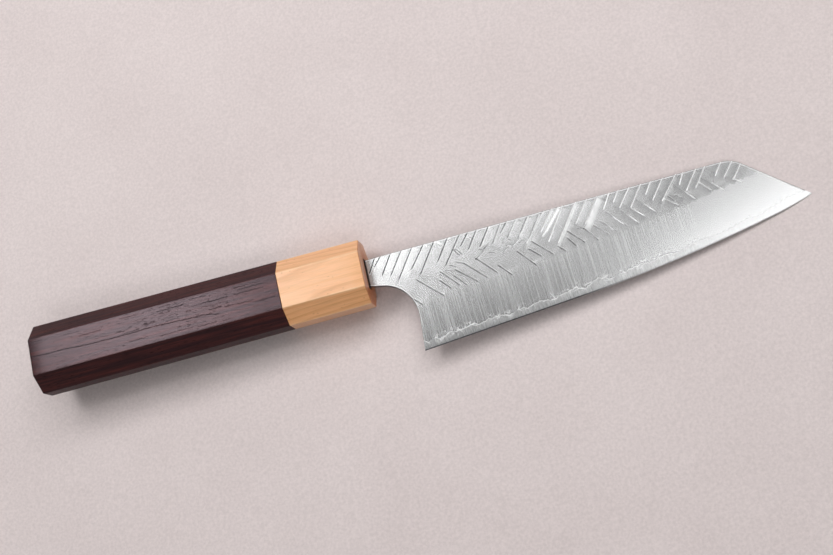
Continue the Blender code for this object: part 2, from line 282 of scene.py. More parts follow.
class Effects:
    """Shader node groups, each built once and placed with its own values."""

    def __init__(self) -> None:
        """Build every group."""
        self.groups = {g.name: g for g in (
            self.fine_scratches(), self.wood_figure(), self.open_pores(), self.cut_vessel(),
            self.worn_arris(), self.cloudy_tone(), self.curled_layers())}

    def place(self, net: Network, name: str, feeds: Feeds) -> dict[str, Field]:
        """Put a group in a material.

        Args:
            net: the material's network.
            name: the group's name.
            feeds: values for the group's inputs.

        Returns:
            The group's outputs by name.
        """
        node = net.add("ShaderNodeGroup", node_tree=self.groups[name])
        for key, value in feeds.items():
            net.feed(node.inputs[key], value)
        return {socket.name: Field(net, socket) for socket in node.outputs}

    @staticmethod
    def fine_scratches() -> bpy.types.NodeTree:
        """Long fine lines left by a stone, with a few deeper ones among them."""
        net = Group("ShaderNodeTree", "fine_scratches", {
            "Vector": "Vector", "Lean": 0.0, "Across": 0.3, "Along": 8.0, "Seed": 0.0},
            "Tone", "Height")
        vector, lean, across, along, seed = net.given.values()
        turned = net.result("ShaderNodeVectorRotate", {"Vector": vector, "Angle": lean},
                            rotation_type="Z_AXIS")
        place = turned / net.join(across, along, along) + net.join(seed, seed)
        fine = net.noise(place, 1.0, 0.4)
        broad = net.noise(place * (0.32, 1.0, 1.0), 2.0, 0.6)
        deep = net.noise(place * (1.3, 1.7, 1.0), 0.0).span(0.70, 0.76)
        return net.give(Tone=fine * 0.8 + broad * 0.2, Height=fine - deep * 0.5)

    @staticmethod
    def wood_figure() -> bpy.types.NodeTree:
        """Growth rings, streaks and fibres of a board that runs along X."""
        net = Group("ShaderNodeTree", "wood_figure", {
            "Vector": "Vector", "Ring Lie": (0.0, 0.2, 1.0), "Ring Width": 2.5,
            "Ring Shift": 0.0, "Wander": 1.5, "Streak": 1.5, "Fibre": 0.25, "Seed": 0.0},
            "Rings", "Streaks", "Fibres")
        vector, lie, width, shift, wander, streak, fibre, seed = net.given.values()
        moved = vector + net.join(seed, seed, seed)
        drift = net.noise(moved * (0.022, 0.10, 0.10)) - 0.5
        across = net.work("DOT_PRODUCT", vector, lie) + drift * (wander * 2.0)
        ring = net.work("FRACT", (across + shift) / width)
        lanes = {name: net.noise(moved / net.join(size * length, size, size), 3.0, 0.6)
                 for name, size, length in (("Streaks", streak, 28.0), ("Fibres", fibre, 40.0))}
        return net.give(Rings=ring ** 3.0 * ring.fade(0.90, 1.0), **lanes)

    @staticmethod
    def open_pores() -> bpy.types.NodeTree:
        """Short dark grooves along X where the wood's vessels are cut open."""
        net = Group("ShaderNodeTree", "open_pores", {
            "Vector": "Vector", "Length": 8.0, "Width": 0.5, "Share": 0.5, "Seed": 0.0}, "Mask")
        vector, length, width, share, seed = net.given.values()
        bend = net.noise(vector * (0.12, 0.12, 0.12)) * 2.2
        wavy = vector + bend * (0.0, 1.0, 1.0)
        place = wavy / net.join(length, width, width) + net.join(seed, seed)
        cell = net.add("ShaderNodeTexVoronoi", {"Vector": place, "Scale": 1.0, "Randomness": 1.0})
        pick = net.result("ShaderNodeSeparateColor", {0: Field(net, cell.outputs["Color"])})
        crowd = net.noise(vector * (0.05, 0.28, 0.28)).span(0.42, 0.62)
        near = Field(net, cell.outputs["Distance"]).fade(0.16, 0.34)
        return net.give(Mask=near * net.work("LESS_THAN", pick, share * crowd))

    @staticmethod
    def cut_vessel() -> bpy.types.NodeTree:
        """One long narrow groove along X, between two places, with faded ends."""
        net = Group("ShaderNodeTree", "cut_vessel", {
            "Vector": "Vector", "Middle": "Vector", "Half": "Vector", "Width": 0.2}, "Mask")
        vector, middle, half, width = net.given.values()
        off = net.most(abs(vector - middle) - half, (0.0, 0.0, 0.0)) * (0.25, 1.0, 0.0)
        return net.give(Mask=net.work("LENGTH", off).fade(width * 0.4, width))

    @staticmethod
    def worn_arris() -> bpy.types.NodeTree:
        """Where handling has rubbed an edge: near it, and broken up by noise."""
        net = Group("ShaderNodeTree", "worn_arris", {
            "Vector": "Vector", "Nearness": 0.0, "Breakup": 0.5}, "Mask")
        vector, nearness, breakup = net.given.values()
        patch = net.noise(vector * (0.25, 0.9, 0.9), 3.0).span(0.35, 0.65)
        return net.give(Mask=nearness.span(0.15, 1.0, kind="SMOOTHSTEP")
                        * (1.0 - breakup * patch))

    @staticmethod
    def cloudy_tone() -> bpy.types.NodeTree:
        """Soft cloudy change of tone, with a finer grain over it."""
        net = Group("ShaderNodeTree", "cloudy_tone", {
            "Vector": "Vector", "Cloud": 8.0, "Grain": 0.6, "Contrast": 1.0, "Seed": 0.0},
            "Tone", "Grain")
        vector, cloud, grain, contrast, seed = net.given.values()
        moved = vector + net.join(seed, seed)
        soft = net.noise(moved * (1.0 / cloud), 3.0, 0.55)
        grain = net.noise(moved * (1.0 / grain), 2.0, 0.6)
        spread = (soft * 0.6 + grain * 0.4 - 0.5) * contrast
        return net.give(Tone=net.work("ADD", spread, 0.5, clamp=True), Grain=grain)

    @staticmethod
    def curled_layers() -> bpy.types.NodeTree:
        """Thin bright curls beside a forge weld, thinning out away from it."""
        net = Group("ShaderNodeTree", "curled_layers", {
            "Vector": "Vector", "Away": 1.0, "Reach": 1.6, "Thickness": 0.03, "Seed": 0.0},
            "Mask")
        vector, away, reach, thickness, seed = net.given.values()
        moved = vector + net.join(seed, seed)
        curl = net.noise(moved * (0.55, 0.42, 1.0), 2.0, 0.6, 0.6)
        patch = net.noise(moved * (0.09, 0.0, 0.0), 1.0).span(0.40, 0.55)
        line = abs(curl - 0.5).fade(0.0, thickness)
        return net.give(Mask=line * away.fade(reach * 0.4, reach) * patch)


# Finishes.


@dataclass(frozen=True)
class Finish:
    """What every finish has: a name and the record's material slot; the slot is not used."""

    name: str
    slot: str

    def open(self) -> tuple[Network, Field]:
        """Start the material: its network, and its coordinates in millimetres."""
        material = bpy.data.materials.new(self.name)
        material.use_nodes = True
        net = Network(material.node_tree)
        return net, net.result("ShaderNodeTexCoord", output="Object") * (1.0 / MM)

    def paint(self, net: Network, height: Field, depth: float, strength: float,
              feeds: Feeds) -> bpy.types.Material:
        """Feed the shader and hand over the material.

        Args:
            net: the material's network.
            height: what the surface's bump follows.
            depth: the bump's depth in millimetres.
            strength: the bump's strength.
            feeds: the shader's other inputs.

        Returns:
            The material.
        """
        bump = net.result("ShaderNodeBump", {"Height": height, "Distance": depth * MM,
                                             "Strength": strength})
        shader = net.tree.nodes["Principled BSDF"]
        for name, value in {"Normal": bump, **feeds}.items():
            net.feed(shader.inputs[name], value)
        return bpy.data.materials[self.name]


@dataclass(frozen=True)
class SteelFinish(Finish):
    """A steel finish with the bright line that the weld leaves on the face."""

    # Bright colour of the weld line, also used for the painted highlights on the cladding.
    weld: tuple = (0.97, 0.97, 0.97)
    line_half: float = 0.115
    curl_reach: float = 1.9
    curl_thickness: float = 0.022

    def weld_line(self, net: Network, effects: Effects, place: Field) -> Field:
        """How much of the bright line shows at a point, with its loose ends and curls.

        Args:
            net: the material's network.
            effects: the shared effects.
            place: coordinates in millimetres.

        Returns:
            A mask.
        """
        glow, away = net.mark("weld_glow"), net.mark("weld_away")
        main = glow * away.fade(0.5 * self.line_half, 1.3 * self.line_half)
        spur = net.mark("spur_away").fade(0.3 * self.line_half, self.line_half, 0.8)
        curls = effects.place(net, "curled_layers", {
            "Vector": place, "Away": away, "Reach": self.curl_reach,
            "Thickness": self.curl_thickness, "Seed": 3.0})["Mask"]
        return net.most(main, spur, curls * glow.span(0.08, 0.6, 0.0, 0.9))


@dataclass(frozen=True)
class CladdingFinish(SteelFinish):
    """Satin steel: struck facets near the spine, stone-ground below, bright at the weld, with
    painted shade and highlights on its lines, rims and walls.
    """

    dark: tuple = (0.565, 0.568, 0.571)
    pale: tuple = (0.685, 0.689, 0.693)
    # Dark colour of the scale in the struck grooves; every painted shade on the cladding is also
    # mixed towards it.
    scale: tuple = (0.025, 0.025, 0.026)
    line_core: float = 0.12
    line_width: float = 0.24
    # How dark the painted shade on the blade's walls is.
    wall_shade: float = 0.85
    # Painted shade: the struck band's colour falls to 0.83 between 97 and 122 mm ahead of the
    # ferrule.
    struck_painted_shade: tuple = (97.0, 122.0, 1.0, 0.83)
    calm: tuple = (95.0, 140.0, 0.0, 0.75)
    band_foot: float = 18.0
    foot_wander: float = 5.0
    bump_depth: float = 0.0004

    def line_masks(self, net: Network) -> tuple[Field, Field]:
        """Where the struck lines are dark and where they are painted bright.

        A line's tone says which: above 0 it is dark, partly the scale in its groove and partly
        painted shade, with a painted glint past it; below 0 it is a painted highlight with painted
        shade before it.
        """
        away, tone, side = (net.mark(name) for name in ("line_away", "line_tone", "line_side"))
        line = away.fade(self.line_core, self.line_width)
        ring = away.span(self.line_width, 0.30, 0.0, 0.18) * away.fade(0.32, 0.52)
        dark, bright = net.most(0.0, tone), net.most(0.0, tone * -1.0)
        return (dark * line + bright * (ring * side.fade(-0.1, 0.0, 1.6)),
                bright * line + dark * (ring * side.span(0.0, 0.1)))

    def build(self, effects: Effects) -> bpy.types.Material:
        """Build the material from the shared effects."""
        net, place = self.open()
        ahead = place.parts[0] - FERRULE_FRONT[0]
        jag = net.noise(place * (0.28, 0.02, 0.0), 3.0, 0.6) - 0.5
        struck = (net.mark("above_edge") + jag * self.foot_wander).span(
            self.band_foot - 0.4, self.band_foot + 0.4, kind="SMOOTHSTEP")
        ground = effects.place(net, "fine_scratches", {
            "Vector": place, "Lean": radians(-3.0), "Across": 0.22, "Along": 26.0, "Seed": 3.0})
        hammered = effects.place(net, "fine_scratches", {
            "Vector": place, "Lean": radians(28.0), "Across": 0.40, "Along": 12.0, "Seed": 11.0})
        cloud = effects.place(net, "cloudy_tone", {
            "Vector": place, "Cloud": 5.0, "Grain": 0.45, "Contrast": 0.30, "Seed": 5.0})
        tone = (ground["Tone"] * net.mix(struck, 0.85, 0.25)
                + cloud["Tone"] * net.mix(struck, 0.15, 0.75))
        tone = net.mix(ahead.span(*self.calm), tone, 0.5)
        steel = net.tint(tone.span(0.2, 0.8), self.dark, self.pale)
        # The struck band darkens towards the point: painted shade.
        steel = steel * net.mix(struck, 1.0, ahead.span(*self.struck_painted_shade))
        line_shade, line_light = self.line_masks(net)
        layer, rim = net.mark("layer"), net.mark("rim")
        # Painted shade: a dark line along the spine and the clip, on the outer face's eased rim.
        painted_rim_shade = layer * net.mark("top_rim").fade(0.10, 0.22, 0.9)
        # Painted highlight: a bright line just inside the rim.
        rim_light = rim.span(0.20, 0.28) * rim.fade(0.40, 0.60, 0.45) * layer
        # Painted shade on the walls, and on the outer part of the eased rim, wherever the normal
        # turns away from Z.
        facing = net.result("ShaderNodeNewGeometry", output="Normal").parts[2]
        wall = abs(facing).fade(0.55, 0.95, self.wall_shade)
        # Painted shade by the ferrule's mouth: a dark band at its front and a soft darkening along
        # the neck, which also holds back the painted highlights there.
        mouth = net.most(ahead.fade(0.95, 1.3, 0.93), ahead.fade(0.8, 3.5, 0.16, "SMOOTHSTEP"))
        beside = net.mark("weld_glow") * net.mark("weld_away").fade(0.15, 0.6, 0.3)
        # All painted shade, with the dark halo beside the weld line, goes towards the dark colour;
        # the painted facet shade only in the struck band.
        shade = net.most(painted_rim_shade, line_shade, net.mark("facet_shade") * struck, wall, mouth,
                         beside)
        # Painted highlights of the lines, the rim and the facets, shown in the weld's bright
        # colour.
        lights = net.most(line_light, rim_light, net.mark("facet_glow")) * (1.0 - mouth)
        bright = net.most(self.weld_line(net, effects, place), lights)
        height = (ground["Height"] * net.mix(struck, 1.0, 0.05)
                  + hammered["Height"] * net.mix(struck, 0.0, 0.06))
        return self.paint(net, height, self.bump_depth, 0.5, {
            "Base Color": net.tint(bright, net.tint(shade, steel, self.scale), self.weld),
            "Metallic": 1.0, "Roughness": tone.span(0.35, 0.65, 0.22, 0.29) + bright * 0.5})


@dataclass(frozen=True)
class CoreFinish(SteelFinish):
    """Bare hard steel behind the edge: greyer and mottled, finely ground, with a painted dark line
    along the edge and painted light towards the point.
    """

    dark: tuple = (0.34, 0.343, 0.346)
    pale: tuple = (0.68, 0.683, 0.686)
    # Painted shade: the near-black colour of a line along the cutting edge, which fades out
    # between 78 and 104 mm.
    edge: tuple = (0.02, 0.02, 0.022)
    # Painted light: the bare steel grows brighter towards the point, from 0.95 at 25 mm to 1.16 at
    # 140 mm.
    ends: tuple = (25.0, 140.0, 0.95, 1.16)
    calm: tuple = (75.0, 135.0, 0.0, 0.85)
    dark_edge: tuple = (78.0, 104.0, 0.96, 0.0)

    def build(self, effects: Effects) -> bpy.types.Material:
        """Build the material from the shared effects."""
        net, place = self.open()
        lines = effects.place(net, "fine_scratches", {
            "Vector": place, "Lean": radians(-6.0), "Across": 0.28, "Along": 2.4, "Seed": 7.0})
        cloud = effects.place(net, "cloudy_tone", {
            "Vector": place, "Cloud": 2.0, "Grain": 0.5, "Contrast": 1.0, "Seed": 2.0})
        ahead = place.parts[0] - FERRULE_FRONT[0]
        tone = net.mix(ahead.span(*self.calm), lines["Tone"] * 0.75 + cloud["Tone"] * 0.25, 0.57)
        # Brighter towards the point: painted light.
        steel = net.tint(tone.span(0.36, 0.66), self.dark, self.pale) * ahead.span(*self.ends)
        # Painted shade along the cutting edge.
        painted_edge_shade = ahead.span(*self.dark_edge) * net.mark("above_edge").fade(0.32, 0.48)
        bright = self.weld_line(net, effects, place) * (1.0 - painted_edge_shade)
        return self.paint(net, lines["Height"], 0.003, 0.5, {
            "Base Color": net.tint(bright, net.tint(painted_edge_shade, steel, self.edge), self.weld),
            "Metallic": 1.0, "Roughness": tone.span(0.3, 0.7, 0.34, 0.26) + bright * 0.5})


@dataclass(frozen=True)
class WoodFinish(Finish):
    """Oiled wood: rings, streaks, fibres and open pores, rubbed along the arrises.

    A pore run is x and y along one long open pore; a vessel is its start and end along x,
    its y, its width and how much of it shows. Both are in millimetres from the ferrule.
    """

    ground: tuple
    figure: tuple
    streak: tuple
    pore: tuple
    worn: tuple
    ring_lie: tuple
    ring_width: float
    streak_share: float
    pore_share: float
    pore_length: float
    pore_width: float
    wear: float
    roughness: float
    coat: float
    depth: float
    seed: float
    ring_share: float = 0.5
    ring_shift: float = 0.0
    fibre: float = 0.22
    end_grain: tuple = (0.80, 0.50, 0.34)
    specular: float = 0.5
    shine: tuple = (1.0, 1.0, 1.0)
    chamfer_rough: float = 0.0
    pore_run: tuple = ()
    vessels: tuple = ()
    vessel_share: float = 0.85
    vessel_width: float = 0.65
    pore_swing: float = 10.0
    pore_shake: float = 0.9
    pore_half: Point = (0.08, 0.22)

    def long_pores(self, net: Network, effects: Effects, place: Field) -> Field:
        """The long open pore that wanders along the handle, and the shorter ones by it.

        Args:
            net: the material's network.
            effects: the shared effects.
            place: coordinates in millimetres.

        Returns:
            Their mask, or 0 where this wood has none.
        """
        if not self.pore_run:
            return 0.0
        here = place - FERRULE_FRONT
        x, y, _ = here.parts
        first, last = self.pore_run[0][0], self.pore_run[-1][0]
        curve = net.add("ShaderNodeFloatCurve", {1: x.span(first, last)})
        bend = curve.mapping.curves[0]
        spots = [((a - first) / (last - first), 0.5 + b / self.pore_swing)
                 for a, b in self.pore_run]
        bend.points[0].location, bend.points[1].location = spots[0], spots[-1]
        for spot in spots[1:-1]:
            bend.points.new(*spot)
        curve.mapping.update()
        shake = (net.noise(place * (0.5, 0.0, 0.0), 3.0) - 0.5) * self.pore_shake
        away = abs(y - ((Field(net, curve.outputs[0]) - 0.5) * self.pore_swing + shake))
        broken = net.noise(place * (0.35, 0.0, 0.0)).span(0.40, 0.50, 0.35, 0.85)
        mask = away.fade(*self.pore_half) * (x.fade(last, last + 3.0) * broken)
        here = here + net.join(y=net.noise(place * (0.9, 0.2, 0.2)) - 0.5)
        for start, end, height, width, share in self.vessels:
            cut = effects.place(net, "cut_vessel", {
                "Vector": here, "Middle": (0.5 * (start + end), height, 0.0),
                "Half": (0.5 * (end - start), 0.0, 0.0), "Width": self.vessel_width * width})
            mask = net.most(mask, cut["Mask"] * (self.vessel_share * share))
        return mask

    def build(self, effects: Effects) -> bpy.types.Material:
        """Build the material from the shared effects."""
        net, place = self.open()
        figure = effects.place(net, "wood_figure", {
            "Vector": place, "Ring Lie": self.ring_lie, "Ring Width": self.ring_width,
            "Ring Shift": self.ring_shift, "Wander": 1.6, "Streak": 1.1, "Fibre": 0.16,
            "Seed": self.seed})
        pores = effects.place(net, "open_pores", {
            "Vector": place, "Length": self.pore_length, "Width": self.pore_width,
            "Share": self.pore_share, "Seed": self.seed})
        worn = effects.place(net, "worn_arris", {
            "Vector": place, "Nearness": net.mark("arris"), "Breakup": 0.6})
        fibres = figure["Fibres"]
        colour = net.tint(figure["Streaks"].span(0.42, 0.68) * self.streak_share, self.ground,
                          self.streak)
        colour = net.tint(figure["Rings"] * self.ring_share, colour, self.figure)
        colour = colour * fibres.span(0.3, 0.7, 1.0 - self.fibre, 1.0 + self.fibre)
        facing_x, _, facing_z = net.result("ShaderNodeNewGeometry", output="Normal").parts
        cut_end = abs(facing_x).span(0.45, 0.9)
        colour = net.tint(cut_end, colour, colour * self.end_grain)
        pore = net.most(pores["Mask"] * 0.9, self.long_pores(net, effects, place))
        colour = net.tint(pore, colour, self.pore)
        satin = (fibres.span(0.3, 0.7, self.roughness + 0.05, self.roughness - 0.05)
                 + abs(facing_z).fade(0.8, 0.98, self.chamfer_rough))
        return self.paint(net, fibres - pore, self.depth, 0.6, {
            "Base Color": net.tint(worn["Mask"] * self.wear, colour, self.worn),
            "Specular IOR Level": self.specular, "Specular Tint": self.shine,
            "Coat Weight": (1.0 - net.most(pore, cut_end)) * self.coat, "Coat Roughness": 0.22,
            "Roughness": satin + pore * 0.5})


@dataclass(frozen=True)
class FillerFinish(Finish):
    """A set filler or adhesive: one colour, slightly cloudy and uneven."""

    dark: tuple = (0.008, 0.008, 0.009)
    pale: tuple = (0.022, 0.020, 0.020)
    roughness: float = 0.45
    bubble: float = 0.5

    def build(self, effects: Effects) -> bpy.types.Material:
        """Build the material from the shared effects."""
        net, place = self.open()
        cloud = effects.place(net, "cloudy_tone", {
            "Vector": place, "Cloud": 1.5, "Grain": self.bubble, "Contrast": 1.8, "Seed": 1.0})
        return self.paint(net, cloud["Grain"], 0.03, 0.4, {
            "Base Color": net.tint(cloud["Tone"], self.dark, self.pale),
            "Roughness": cloud["Tone"].span(0.3, 0.7, self.roughness - 0.06,
                                            self.roughness + 0.06)})


@dataclass(frozen=True)
class FloorFinish(Finish):
    """A matte board, pinkish beige with a soft fine mottle, and painted light that makes it
    lighter towards the back.
    """

    dark: tuple = (0.65, 0.565, 0.555)
    pale: tuple = (0.77, 0.685, 0.675)

    def build(self, effects: Effects) -> bpy.types.Material:
        """Build the material from the shared effects."""
        net, place = self.open()
        cloud = effects.place(net, "cloudy_tone", {
            "Vector": place, "Cloud": 55.0, "Grain": 1.1, "Contrast": 1.5, "Seed": 9.0})
        # The last factor is painted light: the board grows lighter towards its far side, from 0.96
        # to 1.04 across 300 mm.
        colour = (net.tint(cloud["Tone"], self.dark, self.pale)
                  * cloud["Grain"].span(0.3, 0.7, 0.95, 1.05)
                  * place.parts[1].span(-150.0, 150.0, 0.96, 1.04))
        return self.paint(net, cloud["Grain"], 0.05, 0.15, {
            "Base Color": colour, "Roughness": 0.75})


# Mesh tools.


class Plan:
    """A flat drawing of one face: its outline, scored lines and filling points."""

    def __init__(self, outline: Sequence[Point]) -> None:
        """Start from a closed outline, drawn anticlockwise."""
        self.outline = list(outline)
        self.points = list(outline)
        self.lines: list[tuple[int, int]] = []

    def score(self, line: Sequence[Point]) -> None:
        """Add a line that the mesh's edges have to follow."""
        start = len(self.points)
        self.points += line
        self.lines += [(i, i + 1) for i in range(start, start + len(line) - 1)]

    def holds(self, points: np.ndarray) -> np.ndarray:
        """Say which points lie inside the outline."""
        inside = np.zeros(len(points), bool)
        for (ax, ay), (bx, by) in zip(self.outline, self.outline[1:] + self.outline[:1]):
            if ay != by:
                level = (points[:, 1] > min(ay, by)) & (points[:, 1] <= max(ay, by))
                crossing = ax + (points[:, 1] - ay) * (bx - ax) / (by - ay)
                inside ^= level & (points[:, 0] < crossing)
        return inside

    def fill(self, spacing: float, wanted: Callable[[float, float], bool]) -> None:
        """Add evenly spaced points, clear of every point that is there already.

        Args:
            spacing: distance between neighbours.
            wanted: says whether a place is to be filled.
        """
        tree = KDTree(len(self.points))
        for i, (x, y) in enumerate(self.points):
            tree.insert((x, y, 0.0), i)
        tree.balance()
        low, high = np.min(self.outline, axis=0), np.max(self.outline, axis=0)
        row_step = 0.5 * sqrt(3.0) * spacing
        rows, columns = np.mgrid[0:(high[1] - low[1]) / row_step, 0:(high[0] - low[0]) / spacing]
        grid = np.stack([low[0] + (columns + 0.5 * (rows % 2)) * spacing,
                         low[1] + rows * row_step], axis=-1).reshape(-1, 2)
        for x, y in grid[self.holds(grid)].tolist():
            if wanted(x, y) and tree.find((x, y, 0.0))[2] > 0.6 * spacing:
                self.points.append((x, y))

    def triangles(self) -> tuple[np.ndarray, np.ndarray]:
        """Mesh the inside of the outline.

        Returns:
            The points, and the triangles as rows of three indices, anticlockwise.
        """
        made = delaunay_2d_cdt([Vector(p) for p in self.points], self.lines,
                               [list(range(len(self.outline)))], 1, 1e-5, True)
        points = np.array([(v.x, v.y) for v in made[0]])
        faces = np.array([face for face, source in zip(made[2], made[5]) if source])
        a, b, c = (points[faces[:, i]] for i in range(3))
        turn = np.cross(b - a, c - a)
        faces[turn < 0.0] = faces[turn < 0.0][:, ::-1]
        used, renumbered = np.unique(faces[np.abs(turn) > 1e-9], return_inverse=True)
        return points[used], renumbered.reshape(-1, 3)


def rim_loop(faces: np.ndarray) -> list[int]:
    """The boundary of a sheet of triangles.

    Args:
        faces: triangles as rows of indices, anticlockwise.

    Returns:
        The boundary's points in order, anticlockwise.
    """
    pairs = {(int(f[i]), int(f[(i + 1) % 3])) for f in faces for i in range(3)}
    following = {a: b for a, b in pairs if (b, a) not in pairs}
    start = min(following)
    loop = [start]
    while following[loop[-1]] != start:
        loop.append(following[loop[-1]])
    return loop


def grid_faces(rows: int, columns: int, closed: bool = False, looped: bool = False
               ) -> list[tuple[int, ...]]:
    """Four-sided faces between the rows of a grid of points.

    Args:
        rows: how many rows there are.
        columns: how many points a row has.
        closed: whether each row joins its own start.
        looped: whether the last row joins the first.

    Returns:
        The faces, row by row.
    """
    return [(r * columns + c, r * columns + (c + 1) % columns,
             (r + 1) % rows * columns + (c + 1) % columns, (r + 1) % rows * columns + c)
            for r in range(rows - (not looped)) for c in range(columns - (not closed))]


def tube_faces(rings: int, size: int) -> list[tuple[int, ...]]:
    """Faces of a closed tube: its two ends, then its walls."""
    last = size * (rings - 1)
    return [tuple(range(size))[::-1], tuple(range(last, last + size)),
            *grid_faces(rings, size, closed=True)]


def packed(x: float, y: float, z: float) -> tuple[float, ...]:
    """Where a place in the handle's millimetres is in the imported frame, in metres."""
    return tuple(MM * (v + f) for v, f in zip((x, y, z), FERRULE_FRONT))


def add_piece(name: str, points: Sequence, faces: Sequence, marks: dict[str, Sequence]
              ) -> bpy.types.Object:
    """Make a mesh object that carries named values on its points.

    Args:
        name: the object's name.
        points: its vertices.
        faces: its faces as lists of indices.
        marks: for each name, one number or three-number row for each vertex.

    Returns:
        The object, in the scene.
    """
    mesh = bpy.data.meshes.new(name)
    mesh.from_pydata([tuple(p) for p in points], [], [tuple(int(i) for i in f) for f in faces])
    for key, values in marks.items():
        rows = np.asarray(values, dtype=np.float32)
        flat = rows.ndim == 1
        layer = mesh.attributes.new(key, "FLOAT" if flat else "FLOAT_VECTOR", "POINT")
        layer.data.foreach_set("value" if flat else "vector", rows.ravel())
    piece = bpy.data.objects.new(name, mesh)
    bpy.context.scene.collection.objects.link(piece)
    return piece


def run_tree(piece: bpy.types.Object, tree: bpy.types.NodeTree, values: dict[str, object]
             ) -> None:
    """Shape a piece with a Geometry Nodes tree and keep the result as its mesh.

    Args:
        piece: the object to shape.
        tree: the tree to run.
        values: the tree's inputs by name.
    """
    modifier = piece.modifiers.new(tree.name, "NODES")
    modifier.node_group = tree
    for item in tree.interface.items_tree:
        if item.item_type == "SOCKET" and item.in_out == "INPUT" and item.name in values:
            modifier[item.identifier] = values[item.name]
    keep_result(piece)


def keep_result(piece: bpy.types.Object) -> None:
    """Turn what a piece's modifiers show into its own plain mesh."""
    bpy.context.view_layer.update()
    graph = bpy.context.evaluated_depsgraph_get()
    rough = piece.data
    result = bpy.data.meshes.new_from_object(piece.evaluated_get(graph), depsgraph=graph,
                                             preserve_all_data_layers=True)
    piece.modifiers.clear()
    piece.data = result
    result.name = piece.name
    bpy.data.meshes.remove(rough)


def soften(piece: bpy.types.Object, angle: float) -> None:
    """Shade a piece smooth, except over edges sharper than an angle in degrees."""
    piece.data.shade_smooth()
    piece.data.set_sharp_from_angle(angle=radians(angle))


def dress(piece: bpy.types.Object, finish: Finish, materials: Materials, *nodes: str) -> None:
    """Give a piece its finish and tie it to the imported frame.

    Args:
        piece: the finished object.
        finish: its finish.
        materials: every material by its finish's name.
        *nodes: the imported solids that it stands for.
    """
    piece.data.materials.clear()
    piece.data.materials.append(materials[finish.name])
    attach(piece, "root")
    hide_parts(*nodes)
    log.info("%s: %d faces in %s", piece.name, len(piece.data.polygons), finish.name)


def sizes_of(owner: object, *names: str) -> dict[str, float]:
    """Some of an object's sizes, titled as the inputs of a tree are."""
    return {name.replace("_", " ").title(): getattr(owner, name) for name in names}


def close_tree(net: Group, shape: Field) -> bpy.types.NodeTree:
    """End a tree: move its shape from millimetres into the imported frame, smooth and paint it."""
    shape = net.result("GeometryNodeTransform", {
        "Geometry": shape, "Translation": tuple(MM * v for v in FERRULE_FRONT),
        "Scale": (MM, MM, MM)})
    shape = net.result("GeometryNodeSetShadeSmooth", {"Geometry": shape})
    shape = net.result("GeometryNodeRealizeInstances", {"Geometry": shape})
    return net.give(Geometry=net.result("GeometryNodeSetMaterial", {
        "Geometry": shape, "Material": net.given["Material"]}))


# Blade.

# A facet reaches to the next line at least this share as long, a little over it; the least
# reach, and that of a row's last blow, are in millimetres.
AS_LONG, REACH_OVER = 0.72, 1.03
LEAST_FACET, LAST_FACET = 1.2, 3.4
# Distances from lines are worked out this near to them, in millimetres, and stand for far
# away elsewhere.
NEAR_BY, FAR_AWAY = 0.6, 9.0
# Points along the weld line and along the edge, and the turns that find the line's ends.
WELD_POINTS, EDGE_POINTS, MEETING_TURNS = 520, 420, 40


@dataclass(frozen=True)
class Blow:
    """One struck mark: a crisp line, and the facet that rises beside it to nothing."""

    start: Point
    end: Point
    facet: float
    bite: float
    lead: float = 0.0
    fade: float = 0.0
    # The line's tone: above 0 it is dark, partly the scale left in its groove and partly painted
    # shade; below 0 it is a painted highlight.
    oxide_shade_and_glint: float = 0.0

    @property
    def reach(self) -> float:
        """Length of the line."""
        return hypot(self.end[0] - self.start[0], self.end[1] - self.start[1])

    @property
    def heading(self) -> Point:
        """Direction of the line, from its start."""
        return ((self.end[0] - self.start[0]) / self.reach,
                (self.end[1] - self.start[1]) / self.reach)

    def place(self, along: float, past: float) -> Point:
        """The point some way along the line and past it, on the facet's side."""
        hx, hy = self.heading
        return (self.start[0] + hx * along - hy * past, self.start[1] + hy * along + hx * past)


def facing_width(blow: Blow, others: Sequence[Blow]) -> float:
    """How far a blow's facet reaches: to the next line that is about as long.

    Args:
        blow: the blow to measure from.
        others: the blows of its row that come after it, in order.

    Returns:
        The distance square to the blow's line.
    """
    hx, hy = blow.heading
    for other in others:
        if other.reach > AS_LONG * blow.reach:
            dx, dy = other.start[0] - blow.start[0], other.start[1] - blow.start[1]
            return max(LEAST_FACET, REACH_OVER * (hx * dy - hy * dx))
    return LAST_FACET


